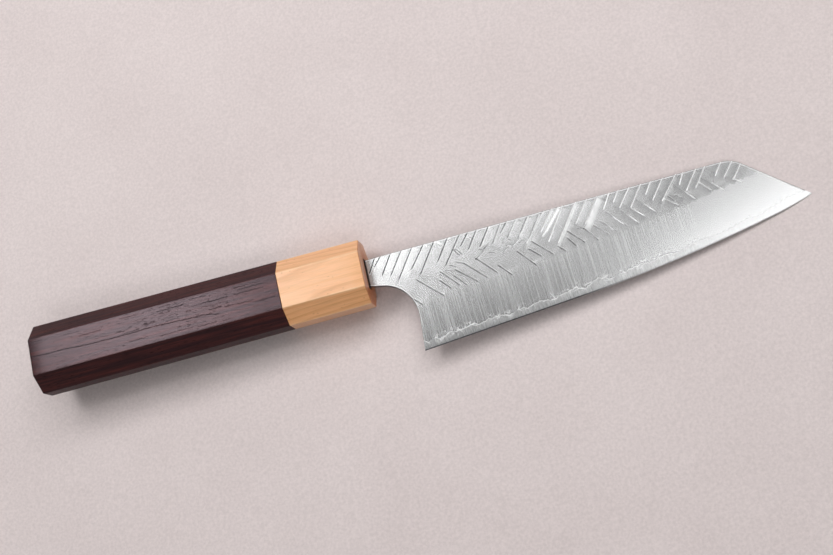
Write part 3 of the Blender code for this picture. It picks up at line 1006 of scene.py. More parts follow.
# Struck lines of the right face, read along the blade: start x, y, end x, y, strength.
SPINE_BLOWS = (
    (4.9, 5.1, 1.0, -1.4, 0.5), (7.2, 5.1, 3.4, 1.0, 0.5), (11.3, 5.1, 5.6, -3.6, 0.7),
    (15.6, 5.1, 8.8, -4.6, 0.9), (19.9, 5.1, 11.2, -7.4, 1.0), (24.6, 5.1, 17.1, -4.4, 0.9),
    (28.8, 5.1, 19.9, -7.6, 1.25), (34.3, 5.1, 27.9, -4.0, 0.9), (39.1, 5.1, 30.2, -6.7, 1.15),
    (42.4, 5.1, 37.9, -0.2, 0.6), (45.8, 5.1, 40.6, -2.4, 0.9), (50.6, 5.1, 45.1, -2.6, 1.2),
    (55.3, 5.2, 50.2, -2.6, 0.8), (57.9, 5.2, 54.1, 0.8, 0.6), (61.5, 5.2, 56.2, -1.8, 0.8),
    (66.2, 5.2, 60.0, -3.2, 1.0), (70.8, 5.2, 61.6, -7.8, 1.0), (72.6, 5.2, 66.6, -2.2, 0.7),
    (75.8, 5.2, 69.1, -3.2, 0.9), (78.2, 5.2, 68.8, -5.4, 1.1), (79.9, 5.2, 70.5, -8.5, 0.8),
    (85.0, 5.3, 73.8, -10.0, 1.2), (89.4, 5.3, 82.6, -3.8, 1.0), (93.3, 5.3, 86.0, -5.0, 1.7),
    (98.2, 5.3, 94.2, -1.0, 0.5), (101.6, 5.3, 98.7, 1.1, 0.7), (105.8, 5.3, 100.2, -1.9, 0.8),
    (110.3, 5.3, 104.3, -2.9, 1.0), (114.2, 5.3, 111.1, 0.7, 0.8),
    (118.7, 5.3, 112.7, -2.6, 1.0), (123.8, 5.4, 115.7, -4.1, 1.3),
    (126.6, 5.4, 124.2, 1.0, 0.7), (131.5, 5.4, 125.8, -2.2, 1.0),
    (135.0, 5.4, 129.4, -2.1, 1.2), (141.1, 5.4, 137.6, 0.6, 0.9),
    (145.7, 5.4, 140.4, -1.0, 0.9), (149.2, 4.4, 143.3, -2.9, 1.0))
LOWER_BLOWS = (
    (14.6, -13.6, 19.5, -18.4, 0.9), (19.2, -8.3, 28.8, -17.6, 1.2),
    (28.0, -11.0, 31.7, -15.1, 0.6), (29.0, -7.8, 35.4, -15.0, 1.1),
    (33.8, -10.7, 37.9, -15.6, 0.9), (34.8, -8.4, 42.4, -15.3, 0.8),
    (38.7, -7.0, 46.4, -15.0, 1.1), (43.5, -6.2, 50.4, -14.0, 0.8),
    (51.2, -11.1, 55.6, -16.3, 1.0), (59.5, -7.8, 65.6, -15.3, 1.2),
    (64.0, -8.0, 68.0, -12.0, 0.7), (65.8, -5.5, 72.7, -12.6, 1.1),
    (75.0, -10.0, 77.3, -12.4, 0.7), (79.1, -7.8, 81.7, -11.7, 0.6),
    (79.9, -5.3, 85.3, -11.3, 1.1), (86.0, -5.8, 90.3, -11.8, 1.0),
    (90.0, -5.8, 94.4, -10.4, 0.9), (92.8, -5.0, 97.6, -10.1, 1.0),
    (95.5, -1.8, 101.8, -9.2, 1.1), (103.0, -4.8, 106.6, -9.4, 0.9),
    (105.3, -3.0, 109.3, -7.3, 0.9), (110.2, -2.7, 113.6, -6.6, 0.9),
    (118.4, -3.0, 122.6, -6.6, 0.7), (126.0, -2.2, 128.9, -5.9, 0.8),
    (132.2, -0.4, 135.6, -4.3, 0.9), (136.3, -1.5, 139.8, -5.3, 0.7),
    (144.4, -2.1, 147.0, -4.1, 0.9))
# Short chance marks where the two rows meet.
CHANCE_BLOWS = (
    (35.6, -0.4, 37.6, -3.4, 0.4), (36.7, -0.6, 38.6, -2.9, 0.35), (33.2, -6.0, 35.4, -7.2, 0.4),
    (35.8, -5.4, 38.4, -6.6, 0.45), (45.6, -3.0, 47.6, -3.4, 0.5), (43.6, -6.0, 47.0, -3.7, 0.5),
    (49.2, -5.2, 51.0, -5.6, 0.4), (47.8, -2.6, 49.6, -1.4, 0.35), (54.4, -6.4, 56.6, -5.0, 0.5),
    (55.0, -2.4, 56.6, -1.2, 0.4), (57.6, -2.2, 59.6, -3.4, 0.4), (58.2, -5.2, 61.6, -3.0, 0.45),
    (56.2, -4.2, 58.4, -5.0, 0.4), (61.4, -4.4, 63.2, -4.6, 0.35), (84.0, -5.2, 86.0, -6.4, 0.4),
    (122.4, -2.6, 124.8, -3.8, 0.5), (119.4, -2.2, 121.2, -4.4, 0.4))
# The weld line on the face: x, and its height above the edge.
WELD_LINE = (
    (14.0, 4.0), (16.2, 3.8), (18.3, 2.6), (20.8, 3.7), (22.6, 2.5), (25.0, 3.0), (27.2, 3.9),
    (29.0, 3.2), (31.0, 3.3), (33.0, 3.2), (35.0, 3.6), (36.8, 3.9), (38.0, 2.8), (41.0, 3.1),
    (42.3, 3.7), (44.0, 3.1), (46.0, 3.6), (48.0, 3.2), (50.5, 2.4), (52.0, 2.3), (54.0, 3.2),
    (57.0, 3.1), (58.0, 2.3), (60.0, 3.2), (63.0, 3.5), (65.5, 2.9), (67.5, 2.3), (69.0, 2.5),
    (71.5, 3.2), (74.0, 3.3), (77.5, 4.0), (79.0, 2.8), (81.0, 2.3), (83.5, 3.6), (86.0, 4.4),
    (88.5, 3.7), (91.0, 2.2), (94.6, 3.2), (96.7, 2.8), (98.0, 3.3), (102.0, 3.4), (103.8, 3.8),
    (105.0, 3.0), (108.0, 2.8), (110.0, 3.3), (113.5, 3.2), (117.0, 2.2), (120.0, 2.6),
    (122.0, 3.2), (126.0, 3.1), (131.0, 2.4), (136.0, 2.5), (141.0, 2.8), (144.5, 3.2),
    (147.5, 2.5), (150.0, 2.4), (154.0, 3.0), (158.0, 3.3), (161.0, 3.7), (163.5, 3.2),
    (168.0, 2.3), (172.0, 2.2))
# How bright that line is: x, and a share.
WELD_GLOW = ((16.0, 0.8), (18.6, 0.8), (19.0, 0.1), (20.3, 0.1), (20.6, 0.9), (26.6, 0.8),
             (51.6, 0.9), (52.2, 0.15), (53.6, 0.2), (54.4, 0.9), (65.8, 0.9), (66.4, 0.1),
             (67.2, 0.2), (67.8, 1.0), (91.2, 0.9), (91.8, 0.1), (94.2, 0.1), (94.8, 1.0),
             (116.5, 1.0), (118.0, 0.25), (121.5, 0.3), (123.0, 0.7), (127.0, 0.5),
             (130.0, 0.15), (172.0, 0.1))
# Loose ends of the weld line, where the layers curled: runs of x, y.
WELD_SPURS = (
    ((16.4, -31.6), (18.4, -33.2)), ((20.5, -33.0), (20.9, -31.6), (21.6, -30.5)),
    ((22.5, -33.0), (25.0, -31.8), (26.5, -31.1)), ((30.5, -31.4), (33.0, -30.8), (37.0, -29.8)),
    ((35.5, -30.3), (37.5, -31.0), (41.0, -30.3)), ((45.7, -30.4), (47.5, -29.6), (51.8, -31.0)),
    ((60.5, -30.2), (61.0, -28.4)), ((67.5, -26.2), (69.0, -28.8)),
    ((76.0, -27.8), (78.5, -27.2), (81.0, -28.3)), ((80.5, -26.6), (83.5, -26.0)),
    ((88.5, -24.8), (86.8, -26.6)), ((88.0, -26.8), (91.3, -27.3)),
    ((94.6, -24.4), (96.7, -25.7)), ((102.3, -25.7), (104.5, -24.3)),
    ((122.0, -21.3), (124.0, -21.8), (126.0, -20.8)))


@dataclass
class Blade:
    """The forged blade: a hard core between two struck and ground claddings.

    Sizes are in millimetres.
    """

    spine_y: float = 5.05
    spine_rise: float = 0.0056
    point_x: float = 169.9
    clip_angle: float = radians(40.3)
    shoulder_radius: float = 11.8
    heel: Point = (16.0, -35.45)
    edge_rise: float = 0.0808
    belly: Point = (75.0, 0.00082)
    point_sweep: Point = (155.0, 0.0035)
    neck_under_y: float = -5.6
    choil_radius: float = 14.6
    choil_middle_y: float = -21.0
    heel_top_x: float = 17.0
    tang_length: float = 95.0
    tang_end_half: float = 2.4
    neck_half: float = 1.40
    tip_share: float = 0.46
    tang_share: float = 0.70
    behind_edge: float = 0.09
    grind_width: float = 40.0
    grind_power: float = 2.8
    edge_bevel: float = 0.5
    core_half: float = 0.18
    weld_gap: float = 0.04
    weld_lowest: float = 2.1
    weld_shake: tuple = ((0.17, 2.7, 0.4), (0.12, 5.9, 1.9), (0.07, 11.3, 0.2))
    step_width: float = 0.28
    line_lead: float = 0.6
    line_step: float = 0.55
    rim_step: float = 0.4
    clip_step: float = 0.45
    spine_step: float = 0.5
    tang_step: float = 2.5
    rim_from: float = -2.0
    face_from: float = -1.0
    face_fill: float = 1.0
    tang_fill: float = 3.0
    band_end: float = 158.0
    band_margin: float = 4.5
    band_fill: float = 0.40
    weld_from: float = 10.0
    weld_band: float = 6.0
    weld_fill: float = 0.45
    weld_step_out: float = 0.02
    weld_overrun: float = 0.3
    core_fill: float = 0.42
    clip_from: float = 150.0
    bite: float = 0.13
    spine_depth: tuple = ((0.0, 0.5), (45.0, 0.55), (66.0, 0.7), (100.0, 0.6), (170.0, 0.6))
    lower_depth: tuple = ((0.0, 0.3), (60.0, 0.35), (90.0, 0.4), (170.0, 0.4))
    # Painted shade on the facets before each line, deepest at these x.
    facet_shades: tuple = ((50.0, 0.0), (72.0, 0.10), (88.5, 0.16), (93.5, 0.08),
                           (104.0, 0.22), (150.0, 0.22))
    shade_reach: float = 3.0
    shade_rise: float = 0.25
    glow_rise: Point = (0.1, 0.5)
    facet_runout: Point = (0.5, 0.8)
    # Painted highlights on the facets of single blows: start x, share, width.
    facet_glows: tuple = ((66.2, 0.05, 1.0), (70.8, 0.08, 1.0),
                          (85.0, 0.12, 1.3), (93.3, 0.19, 3.0), (123.8, 0.05, 1.5))
    facet_hollow: float = 1.4
    spine_ends: Point = (0.0, 0.40)
    lower_ends: Point = (0.30, 0.25)
    # Tone of each row's lines along x: dark near the neck, partly scale and partly painted shade;
    # below 0, towards the point, painted highlights.
    spine_tone: tuple = ((0.0, 1.0), (50.0, 1.0), (68.0, 0.3), (79.0, -0.8), (170.0, -1.0))
    lower_tone: tuple = ((0.0, 1.0), (80.0, 1.0), (96.0, 0.35), (102.0, -0.1), (170.0, -0.2))
    band_foot: float = 19.0
    bevel_cut: float = 0.05
    forge_wave: float = 0.014
    wave_scale: float = 0.22
    wave_fade: float = 3.0
    weld_share: float = 0.8
    least_cladding: float = 0.03
    covered_share: float = 0.7
    blow_runout: Point = (0.4, 0.2)
    cladding_crease: float = 9.0
    core_crease: float = 20.0
    rim_ease: float = 0.36
    seed: int = 4
    insets: tuple = (0.05, 0.14, 0.36)
    steel: CladdingFinish = field(default_factory=lambda: CladdingFinish(
        "cladding_satin_steel", "cladding_steel"))
    core_steel: CoreFinish = field(default_factory=lambda: CoreFinish(
        "core_bare_steel", "core_steel"))

    def edge_y(self, x: float) -> float:
        """Height of the cutting edge at x."""
        sweep = sum(curve * max(0.0, x - start) ** 2
                    for start, curve in (self.belly, self.point_sweep))
        return self.heel[1] + self.edge_rise * (x - self.heel[0]) + sweep

    def weld_y(self, x: float) -> float:
        """Height of the weld line on the face at x."""
        shake = sum(size * sin(rate * x + turn) for size, rate, turn in self.weld_shake)
        rise = float(np.interp(x, *zip(*WELD_LINE))) + shake
        return self.edge_y(x) + max(self.weld_lowest, rise)

    def clip_y(self, x: float) -> float:
        """Height of the straight clip at x."""
        return self.edge_y(self.point_x) + (self.point_x - x) * tan(self.clip_angle)

    def choil_x(self, y: float) -> float:
        """Where the straight back of the heel is at height y."""
        lean = (self.heel_top_x - self.heel[0]) / (self.choil_middle_y - self.heel[1])
        return self.heel[0] + (y - self.heel[1]) * lean

    @staticmethod
    def straight(start: Point, end: Point, step: float) -> list[Point]:
        """Points from a start up to, and without, an end."""
        count = max(1, round(hypot(end[0] - start[0], end[1] - start[1]) / step))
        return [(start[0] + (end[0] - start[0]) * i / count,
                 start[1] + (end[1] - start[1]) * i / count) for i in range(count)]

    def back_outline(self, lowest: Point) -> list[Point]:
        """The outline from the tang's end, under the neck and down the choil, to a point."""
        centre = (self.heel_top_x - self.choil_radius, self.choil_middle_y)
        neck = (0.0, self.neck_under_y)
        away = (neck[0] - centre[0], neck[1] - centre[1])
        touch = atan2(away[1], away[0]) - acos(self.choil_radius / hypot(*away))
        turns = 54
        arc = [(centre[0] + self.choil_radius * cos(touch * (1.0 - i / turns)),
                centre[1] + self.choil_radius * sin(touch * (1.0 - i / turns)))
               for i in range(turns + 1)]
        line = self.straight((-self.tang_length, -self.tang_end_half), neck, self.tang_step)
        line += self.straight(neck, arc[0], self.rim_step) + arc[:-1]
        return line + self.straight(arc[-1], lowest, self.rim_step)

    def top_outline(self, lowest: Point) -> list[Point]:
        """The outline from a point on the clip, up over the shoulder, to the tang's end."""
        lean = atan(self.spine_rise)
        tip = (self.point_x, self.edge_y(self.point_x))
        spine_reach = self.spine_y * cos(lean) - self.shoulder_radius
        clip_reach = (tip[0] * sin(self.clip_angle) + tip[1] * cos(self.clip_angle)
                      - self.shoulder_radius)
        cross = -sin(lean) * cos(self.clip_angle) - cos(lean) * sin(self.clip_angle)
        centre = ((spine_reach * cos(self.clip_angle) - clip_reach * cos(lean)) / cross,
                  (-sin(lean) * clip_reach - sin(self.clip_angle) * spine_reach) / cross)
        turns = 24
        arc = []
        for i in range(turns + 1):
            angle = self.clip_angle - (self.clip_angle + lean) * i / turns
            arc.append((centre[0] + self.shoulder_radius * sin(angle),
                        centre[1] + self.shoulder_radius * cos(angle)))
        line = self.straight(lowest, arc[0], self.clip_step) + arc[:-1]
        line += self.straight(arc[-1], (0.0, self.spine_y), self.spine_step)
        end = (-self.tang_length, self.tang_end_half)
        return line + self.straight((0.0, self.spine_y), end, self.tang_step) + [end]

    def weld_run(self) -> list[Point]:
        """The weld line from the choil to the clip, and both ends on them."""
        start = self.heel[0]
        for _ in range(MEETING_TURNS):
            start = self.choil_x(self.weld_y(start))
        low, high = self.clip_from, self.point_x
        for _ in range(MEETING_TURNS):
            middle = 0.5 * (low + high)
            low, high = ((middle, high) if self.weld_y(middle) < self.clip_y(middle)
                         else (low, middle))
        xs = np.linspace(start, low, WELD_POINTS)
        return [(float(x), self.weld_y(float(x))) for x in xs]

    def blows(self, side: Side) -> list[Blow]:
        """Every blow on one face.

        Args:
            side: the face. The right one's two rows are read from the knife, the left
                one's struck by rule; both have the same chance marks where the rows meet.

        Returns:
            The blows, in rows along the blade.
        """
        rows = ([SPINE_BLOWS, LOWER_BLOWS] if side is Side.RIGHT else self.ruled_rows())
        made = []
        for row, (lead, fade), tone, deep in zip(
                rows, (self.spine_ends, self.lower_ends),
                (self.spine_tone, self.lower_tone), (self.spine_depth, self.lower_depth)):
            plain = [Blow((a, b), (c, d), 0.0, self.bite * s * float(np.interp(a, *zip(*deep))))
                     for a, b, c, d, s in row]
            made += [Blow(b.start, b.end, facing_width(b, plain[i + 1:]), b.bite,
                          0.1 + lead * b.reach, fade * b.reach,
                          float(np.interp(b.start[0], *zip(*tone))))
                     for i, b in enumerate(plain)]
        return made + [Blow((a, b), (c, d), facet=0.9, bite=self.bite * s, lead=0.3, fade=0.6,
                            oxide_shade_and_glint=0.6) for a, b, c, d, s in CHANCE_BLOWS]

    def ruled_rows(self) -> list[list[tuple]]:
        """Two rows of blows with even steps, shaken by a fixed seed."""
        rng = np.random.default_rng(self.seed)
        upper, lower = [], []
        x = 4.5
        while x < 149.0:
            length = (9.0 + 3.5 * rng.random()) * (1.0 if rng.random() < 0.75 else 0.55)
            length *= 1.0 - 0.25 * x / 150.0
            angle = radians(rng.uniform(51.0, 57.0))
            upper.append((x, 5.2, x - length * cos(angle), 5.2 - length * sin(angle),
                          rng.uniform(0.7, 1.25)))
            x += rng.uniform(3.0, 5.2)
        x = 20.0
        while x < 144.0:
            top = -8.6 + 0.047 * x + rng.uniform(-1.0, 1.0)
            foot = self.edge_y(x + 5.0) + rng.uniform(16.5, 19.5)
            angle = radians(rng.uniform(45.0, 51.0))
            lower.append((x, top, x + (top - foot) / tan(angle), foot, rng.uniform(0.7, 1.2)))
            x += rng.uniform(3.2, 5.6)
        return [upper, lower]

    def cladding_plan(self, blows: Sequence[Blow]) -> Plan:
        """Draw one cladding's face with its eased rim and every struck line."""
        weld = self.weld_run()
        plan = Plan(self.back_outline(weld[0]) + weld[:-1] + self.top_outline(weld[-1]))
        rims = [[p for p in outline if p[0] > self.rim_from]
                for outline in (self.back_outline(weld[0]), self.top_outline(weld[-1]))]
        for inset in self.insets:
            for rim in rims:
                plan.score(self.inset(rim, inset))
        for blow in blows:
            count = max(3, round(blow.reach / self.line_step))
            for past in (0.0, self.step_width):
                lead = self.line_lead
                plan.score([blow.place(-lead + (blow.reach + lead) * i / count, past)
                            for i in range(count + 1)])
        self.score_spurs(plan)
        foot = self.band_foot - self.band_margin
        plan.fill(self.band_fill,
                  lambda x, y: 0.0 < x < self.band_end and y > self.edge_y(x) + foot)
        plan.fill(self.weld_fill,
                  lambda x, y: x > self.weld_from and y < self.edge_y(x) + self.weld_band)
        plan.fill(self.face_fill, lambda x, y: x > self.face_from)
        plan.fill(self.tang_fill, lambda x, y: x <= self.face_from)
        return plan

    def score_spurs(self, plan: Plan) -> None:
        """Score the weld line's loose ends in a plan."""
        for spur in WELD_SPURS:
            plan.score([p for a, b in zip(spur, spur[1:])
                        for p in self.straight(a, b, self.rim_step)] + [spur[-1]])

    @staticmethod
    def inset(line: Sequence[Point], depth: float) -> list[Point]:
        """A line moved to its left by some depth."""
        moved = []
        for i, (x, y) in enumerate(line):
            before, after = line[max(0, i - 1)], line[min(len(line) - 1, i + 1)]
            dx, dy = after[0] - before[0], after[1] - before[1]
            size = hypot(dx, dy)
            moved.append((x - depth * dy / size, y + depth * dx / size))
        return moved

    def core_plan(self) -> Plan:
        """Draw the core's face, doubled along the weld line where it steps out."""
        weld = self.weld_run()
        xs = np.linspace(self.heel[0], self.point_x, EDGE_POINTS)
        edge = [(float(x), self.edge_y(float(x))) for x in xs]
        plan = Plan(self.back_outline(edge[0]) + edge[:-1] + self.top_outline(edge[-1]))
        (x0, y0), (x1, y1) = weld[0], weld[-1]
        longer = [(x0 - self.weld_overrun, y0), *weld, (x1 + self.weld_overrun, y1)]
        plan.score(longer)
        plan.score([(x, y - self.weld_step_out) for x, y in longer])
        plan.score([(x, y + self.edge_bevel) for x, y in edge])
        self.score_spurs(plan)
        plan.fill(self.core_fill, lambda x, y: x > self.weld_from and y < self.weld_y(x))
        plan.fill(self.tang_fill, lambda x, y: True)
        return plan

    def marks(self, points: np.ndarray) -> dict[str, np.ndarray]:
        """Height above the edge, and distances from the weld line, for a plan's points."""
        above = np.array([y - self.edge_y(x) for x, y in points])
        weld = [(float(x), self.weld_y(float(x))) for x in np.arange(14.0, 172.0, 0.3)]
        glow = np.interp(points[:, 0], *zip(*WELD_GLOW))
        return {"above_edge": np.where(above < 1e-4, 0.0, above),
                "weld_away": self.distance(points, [weld]), "weld_glow": glow,
                "spur_away": self.distance(points, WELD_SPURS)}

    @staticmethod
    def distance(points: np.ndarray, runs: Sequence[Sequence[Point]]) -> np.ndarray:
        """Distance from each point to the nearest of some lines, where it is short."""
        starts = np.array([p for run in runs for p in run[:-1]])
        ends = np.array([p for run in runs for p in run[1:]])
        nearest = np.full(len(points), FAR_AWAY)
        order = np.argsort(starts[:, 0])
        starts, ends = starts[order], ends[order]
        for start, end in zip(starts, ends):
            low, high = min(start[0], end[0]) - NEAR_BY, max(start[0], end[0]) + NEAR_BY
            picked = np.flatnonzero((points[:, 0] > low) & (points[:, 0] < high))
            if not len(picked):
                continue
            run = end - start
            rel = points[picked] - start
            share = np.clip(rel @ run / (run @ run), 0.0, 1.0)
            gap = np.hypot(*(rel - share[:, None] * run).T)
            nearest[picked] = np.minimum(nearest[picked], gap)
        return nearest

    def line_marks(self, points: np.ndarray, blows: Sequence[Blow]) -> dict[str, np.ndarray]:
        """What the struck lines and their facets give each point, painted light and shade
        included.

        Args:
            points: a plan's points.
            blows: the face's blows.

        Returns:
            The distance from the nearest line, that line's tone, which side of it the point
            is on, and the painted highlight and the painted shade of the facets there.
        """
        away, dark = np.full(len(points), FAR_AWAY), np.zeros(len(points))
        glow, side, shade = (np.zeros(len(points)) for _ in range(3))
        shine = {x: (share, width) for x, share, width in self.facet_glows}
        for blow in blows:
            near = np.flatnonzero(np.abs(points[:, 0] - 0.5 * (blow.start[0] + blow.end[0]))
                                  < 0.5 * blow.reach + 3.0)
            rel = points[near] - np.array(blow.place(0.0, 0.5 * self.step_width))
            heading = np.array(blow.heading)
            along = np.clip(rel @ heading, -self.line_lead, blow.reach - 0.3 * blow.fade)
            gap = np.hypot(*(rel - along[:, None] * heading).T)
            closer = gap < away[near]
            # Keep the nearest line's tone: its scale and painted shade, or its painted highlight.
            away[near[closer]], dark[near[closer]] = gap[closer], blow.oxide_shade_and_glint
            past = rel @ np.array((-heading[1], heading[0]))
            side[near[closer]] = past[closer]
            # Painted highlight across this blow's facet, where the table gives it one.
            share, width = shine.get(blow.start[0], (0.0, 1.0))
            across = np.interp(past, (*self.glow_rise, 0.6 * width, width), (0.0, 1.0, 0.8, 0.0))
            early, late = self.facet_runout
            ahead = np.interp(rel @ heading, (blow.reach - early, blow.reach + late), (1.0, 0.0))
            glow[near] = np.maximum(glow[near], share * across * ahead)
            # Painted shade in the 3 mm before the line, on the side away from its facet.
            hollow = np.interp(past, (-self.shade_reach, -self.shade_rise, 0.0), (0.0, 1.0, 0.0))
            deepest = np.interp(blow.start[0], *zip(*self.facet_shades))
            shade[near] = np.maximum(shade[near], deepest * hollow * ahead)
        return {"line_away": away, "line_tone": dark, "facet_glow": glow,
                "line_side": side, "facet_shade": shade}

    def cladding_blank(self, name: str, plan: Plan, blows: Sequence[Blow]) -> bpy.types.Object:
        """Stand a cladding's plan up as a closed blank with a finely meshed outer face."""
        points, faces = plan.triangles()
        weld = self.weld_run()
        rim_back, rim_top = self.back_outline(weld[0]), self.top_outline(weld[-1])
        loop = rim_loop(faces)
        count = len(points)
        inner = tessellate_polygon([[Vector((*points[i], 0.0)) for i in loop]])
        under = {i: count + k for k, i in enumerate(loop)}
        solid = [tuple(f) for f in faces]
        for a, b, c in inner:
            pa, pb, pc = (points[loop[i]] for i in (a, b, c))
            turn = (pb[0] - pa[0]) * (pc[1] - pa[1]) - (pb[1] - pa[1]) * (pc[0] - pa[0])
            corners = (a, c, b) if turn > 0.0 else (a, b, c)
            solid.append(tuple(count + i for i in corners))
        solid += [(under[a], under[b], b, a) for a, b in zip(loop, loop[1:] + loop[:1])]
        marks = self.marks(points)
        marks["rim"] = self.distance(points, [rim_back, rim_top])
        marks["top_rim"] = self.distance(points, [rim_top])
        marks.update(self.line_marks(points, blows))
        marks = {k: np.concatenate([v, v[loop]]) for k, v in marks.items()}
        marks["layer"] = np.concatenate([np.ones(count), np.zeros(len(loop))])
        flat = [(x, y, 1.0) for x, y in points] + [(*points[i], 0.0) for i in loop]
        return add_piece(name, flat, solid, marks)

    def core_blank(self, name: str) -> bpy.types.Object:
        """Stand the core's plan up as two faces that share the cutting edge."""
        points, faces = self.core_plan().triangles()
        marks = self.marks(points)
        bare = np.array([y < self.weld_y(x) - 0.01 for x, y in points], float)
        loop = rim_loop(faces)
        count = len(points)
        twin = {i: (i if marks["above_edge"][i] < 1e-4 else count + i) for i in range(count)}
        solid = [tuple(f) for f in faces] + [tuple(twin[int(i)] for i in f[::-1]) for f in faces]
        for a, b in zip(loop, loop[1:] + loop[:1]):
            wall = list(dict.fromkeys((twin[a], twin[b], b, a)))
            if len(wall) > 2:
                solid.append(tuple(wall))
        marks = {k: np.tile(v, 2) for k, v in marks.items()}
        marks["bare"] = np.tile(bare, 2)
        marks["layer"] = np.concatenate([np.ones(count), -np.ones(count)])
        flat = [(x, y, 1.0) for x, y in points] + [(x, y, -1.0) for x, y in points]
        used = sorted({i for f in solid for i in f})
        renumber = {old: new for new, old in enumerate(used)}
        solid = [tuple(renumber[i] for i in f) for f in solid]
        return add_piece(name, [flat[i] for i in used], solid,
                         {k: v[used] for k, v in marks.items()})

    def grind_sizes(self) -> dict[str, float]:
        """The sizes that both of the blade's trees grind by."""
        return sizes_of(self, "neck_half", "tip_share", "tang_share", "point_x", "tang_length",
                        "behind_edge", "grind_width", "grind_power", "edge_bevel", "core_half")

    def strike_sizes(self) -> dict[str, float]:
        """The sizes that the striking tree needs besides."""
        return sizes_of(self, "step_width", "facet_hollow", "band_foot", "bevel_cut",
                        "forge_wave", "rim_ease", "weld_gap")

    @staticmethod
    def grind_fields(net: Group) -> tuple[Field, ...]:
        """X, Y, the ground half thickness and the covered core's half thickness."""
        given = net.given
        x, y, _ = net.result("GeometryNodeInputPosition").parts
        forward = x.span(0.0, given["Point X"], 1.0, given["Tip Share"])
        rear = x.span(given["Tang Length"] * -1.0, 0.0, given["Tang Share"], 1.0)
        above = net.mark("above_edge")
        depth = net.work("DIVIDE", above, given["Grind Width"], clamp=True)
        curve = 1.0 - (1.0 - depth) ** given["Grind Power"]
        share = given["Behind Edge"] + (1.0 - given["Behind Edge"]) * curve
        half = given["Neck Half"] * (forward * rear) * share
        return x, y, half * above.span(0.0, given["Edge Bevel"]), given["Core Half"] * forward

    def strike_tree(self) -> bpy.types.NodeTree:
        """The tree that grinds a cladding's blank and strikes every blow into it."""
        net = Group("GeometryNodeTree", "strike_cladding", {
            "Geometry": "Geometry", "Blows": "Object", "Blow Count": "Int", "Side": "Float",
            "Seed": "Float", **self.strike_sizes(), **self.grind_sizes(),
            "Material": "Material"}, "Geometry")
        given = net.given
        struck = self.strike_all(net)
        x, y, half, core = self.grind_fields(net)
        place, above = net.result("GeometryNodeInputPosition"), net.mark("above_edge")
        foot, ease = given["Band Foot"], given["Rim Ease"]
        cut = given["Bevel Cut"] * net.most(0.0, foot - above)
        bite = net.most(0.0, net.mark("bite") - cut)
        wave = (net.noise(place + net.join(z=given["Seed"]), 0.0, scale=self.wave_scale)
                * given["Forge Wave"] * above.span(foot - self.wave_fade, foot,
                                              kind="SMOOTHSTEP"))
        inside = net.most(0.0, ease - net.mark("rim"))
        round_off = ease - net.work("SQRT", ease ** 2.0 - inside ** 2.0)
        weld = net.least(core + given["Weld Gap"], half * self.weld_share)
        outer = net.most(half - bite - (wave + round_off), weld + self.least_cladding)
        z = net.mix(net.mark("layer"), weld, outer)
        raised = net.result("GeometryNodeSetPosition", {
            "Geometry": struck, "Position": net.join(x, y, z * given["Side"])})
        flipped = net.result("GeometryNodeFlipFaces", {"Mesh": raised})
        return close_tree(net, net.result("GeometryNodeSwitch", {
            "Switch": net.work("LESS_THAN", given["Side"], 0.0), "False": raised,
            "True": flipped}, input_type="GEOMETRY"))

    def strike_all(self, net: Group) -> Field:
        """A repeat zone that strikes one blow in each turn and keeps the deepest.

        Args:
            net: the tree.

        Returns:
            The geometry, which carries the depth of the blows as "bite".
        """
        given = net.given
        blank = net.result("GeometryNodeStoreNamedAttribute", {
            "Geometry": given["Geometry"], "Name": "bite", "Value": 0.0})
        marks = net.result("GeometryNodeObjectInfo", {"Object": given["Blows"]}, "Geometry")
        enter, leave = (net.add("GeometryNodeRepeat" + end) for end in ("Input", "Output"))
        enter.pair_with_output(leave)
        net.feed(enter.inputs["Iterations"], given["Blow Count"])
        net.feed(enter.inputs["Geometry"], blank)
        turn, shape = (Field(net, enter.outputs[name]) for name in ("Iteration", "Geometry"))

        def of_blow(value: Field) -> Field:
            """One blow's own value of a field."""
            return net.result("GeometryNodeSampleIndex", {
                "Geometry": marks, "Value": value, "Index": turn}, data_type="FLOAT_VECTOR")

        start = of_blow(net.result("GeometryNodeInputPosition"))
        heading = of_blow(net.mark("heading", "FLOAT_VECTOR"))
        reach, facet, deep = of_blow(net.mark("reach_facet_bite", "FLOAT_VECTOR")).parts
        lead, run, _ = of_blow(net.mark("lead_and_fade", "FLOAT_VECTOR")).parts
        here = (net.result("GeometryNodeInputPosition") - start) * (1.0, 1.0, 0.0)
        along = net.work("DOT_PRODUCT", here, heading)
        past = net.work("DOT_PRODUCT", here, net.work(
            "CROSS_PRODUCT", (0.0, 0.0, 1.0), heading))
        drop = past.span(0.0, given["Step Width"])
        climb = past.fade(given["Step Width"], facet) ** given["Facet Hollow"]
        before, after = self.blow_runout
        ahead = along.span(-before, lead, kind="SMOOTHSTEP")
        runout = along.fade(reach - run, reach + after, kind="SMOOTHSTEP")
        depth = deep * net.least(drop, climb) * (ahead * runout)
        net.feed(leave.inputs["Geometry"], net.result("GeometryNodeStoreNamedAttribute", {
            "Geometry": shape, "Name": "bite", "Value": net.most(depth, net.mark("bite"))}))
        return Field(net, leave.outputs["Geometry"])

    def grind_tree(self) -> bpy.types.NodeTree:
        """The tree that grinds the core: thin where it is covered, full where it is bare."""
        net = Group("GeometryNodeTree", "grind_core", {
            "Geometry": "Geometry", **self.grind_sizes(), "Material": "Material"}, "Geometry")
        x, y, half, core = self.grind_fields(net)
        z = net.mix(net.mark("bare"), net.least(core, half * self.covered_share), half)
        return close_tree(net, net.result("GeometryNodeSetPosition", {
            "Geometry": net.given["Geometry"],
            "Position": net.join(x, y, z * net.mark("layer"))}))

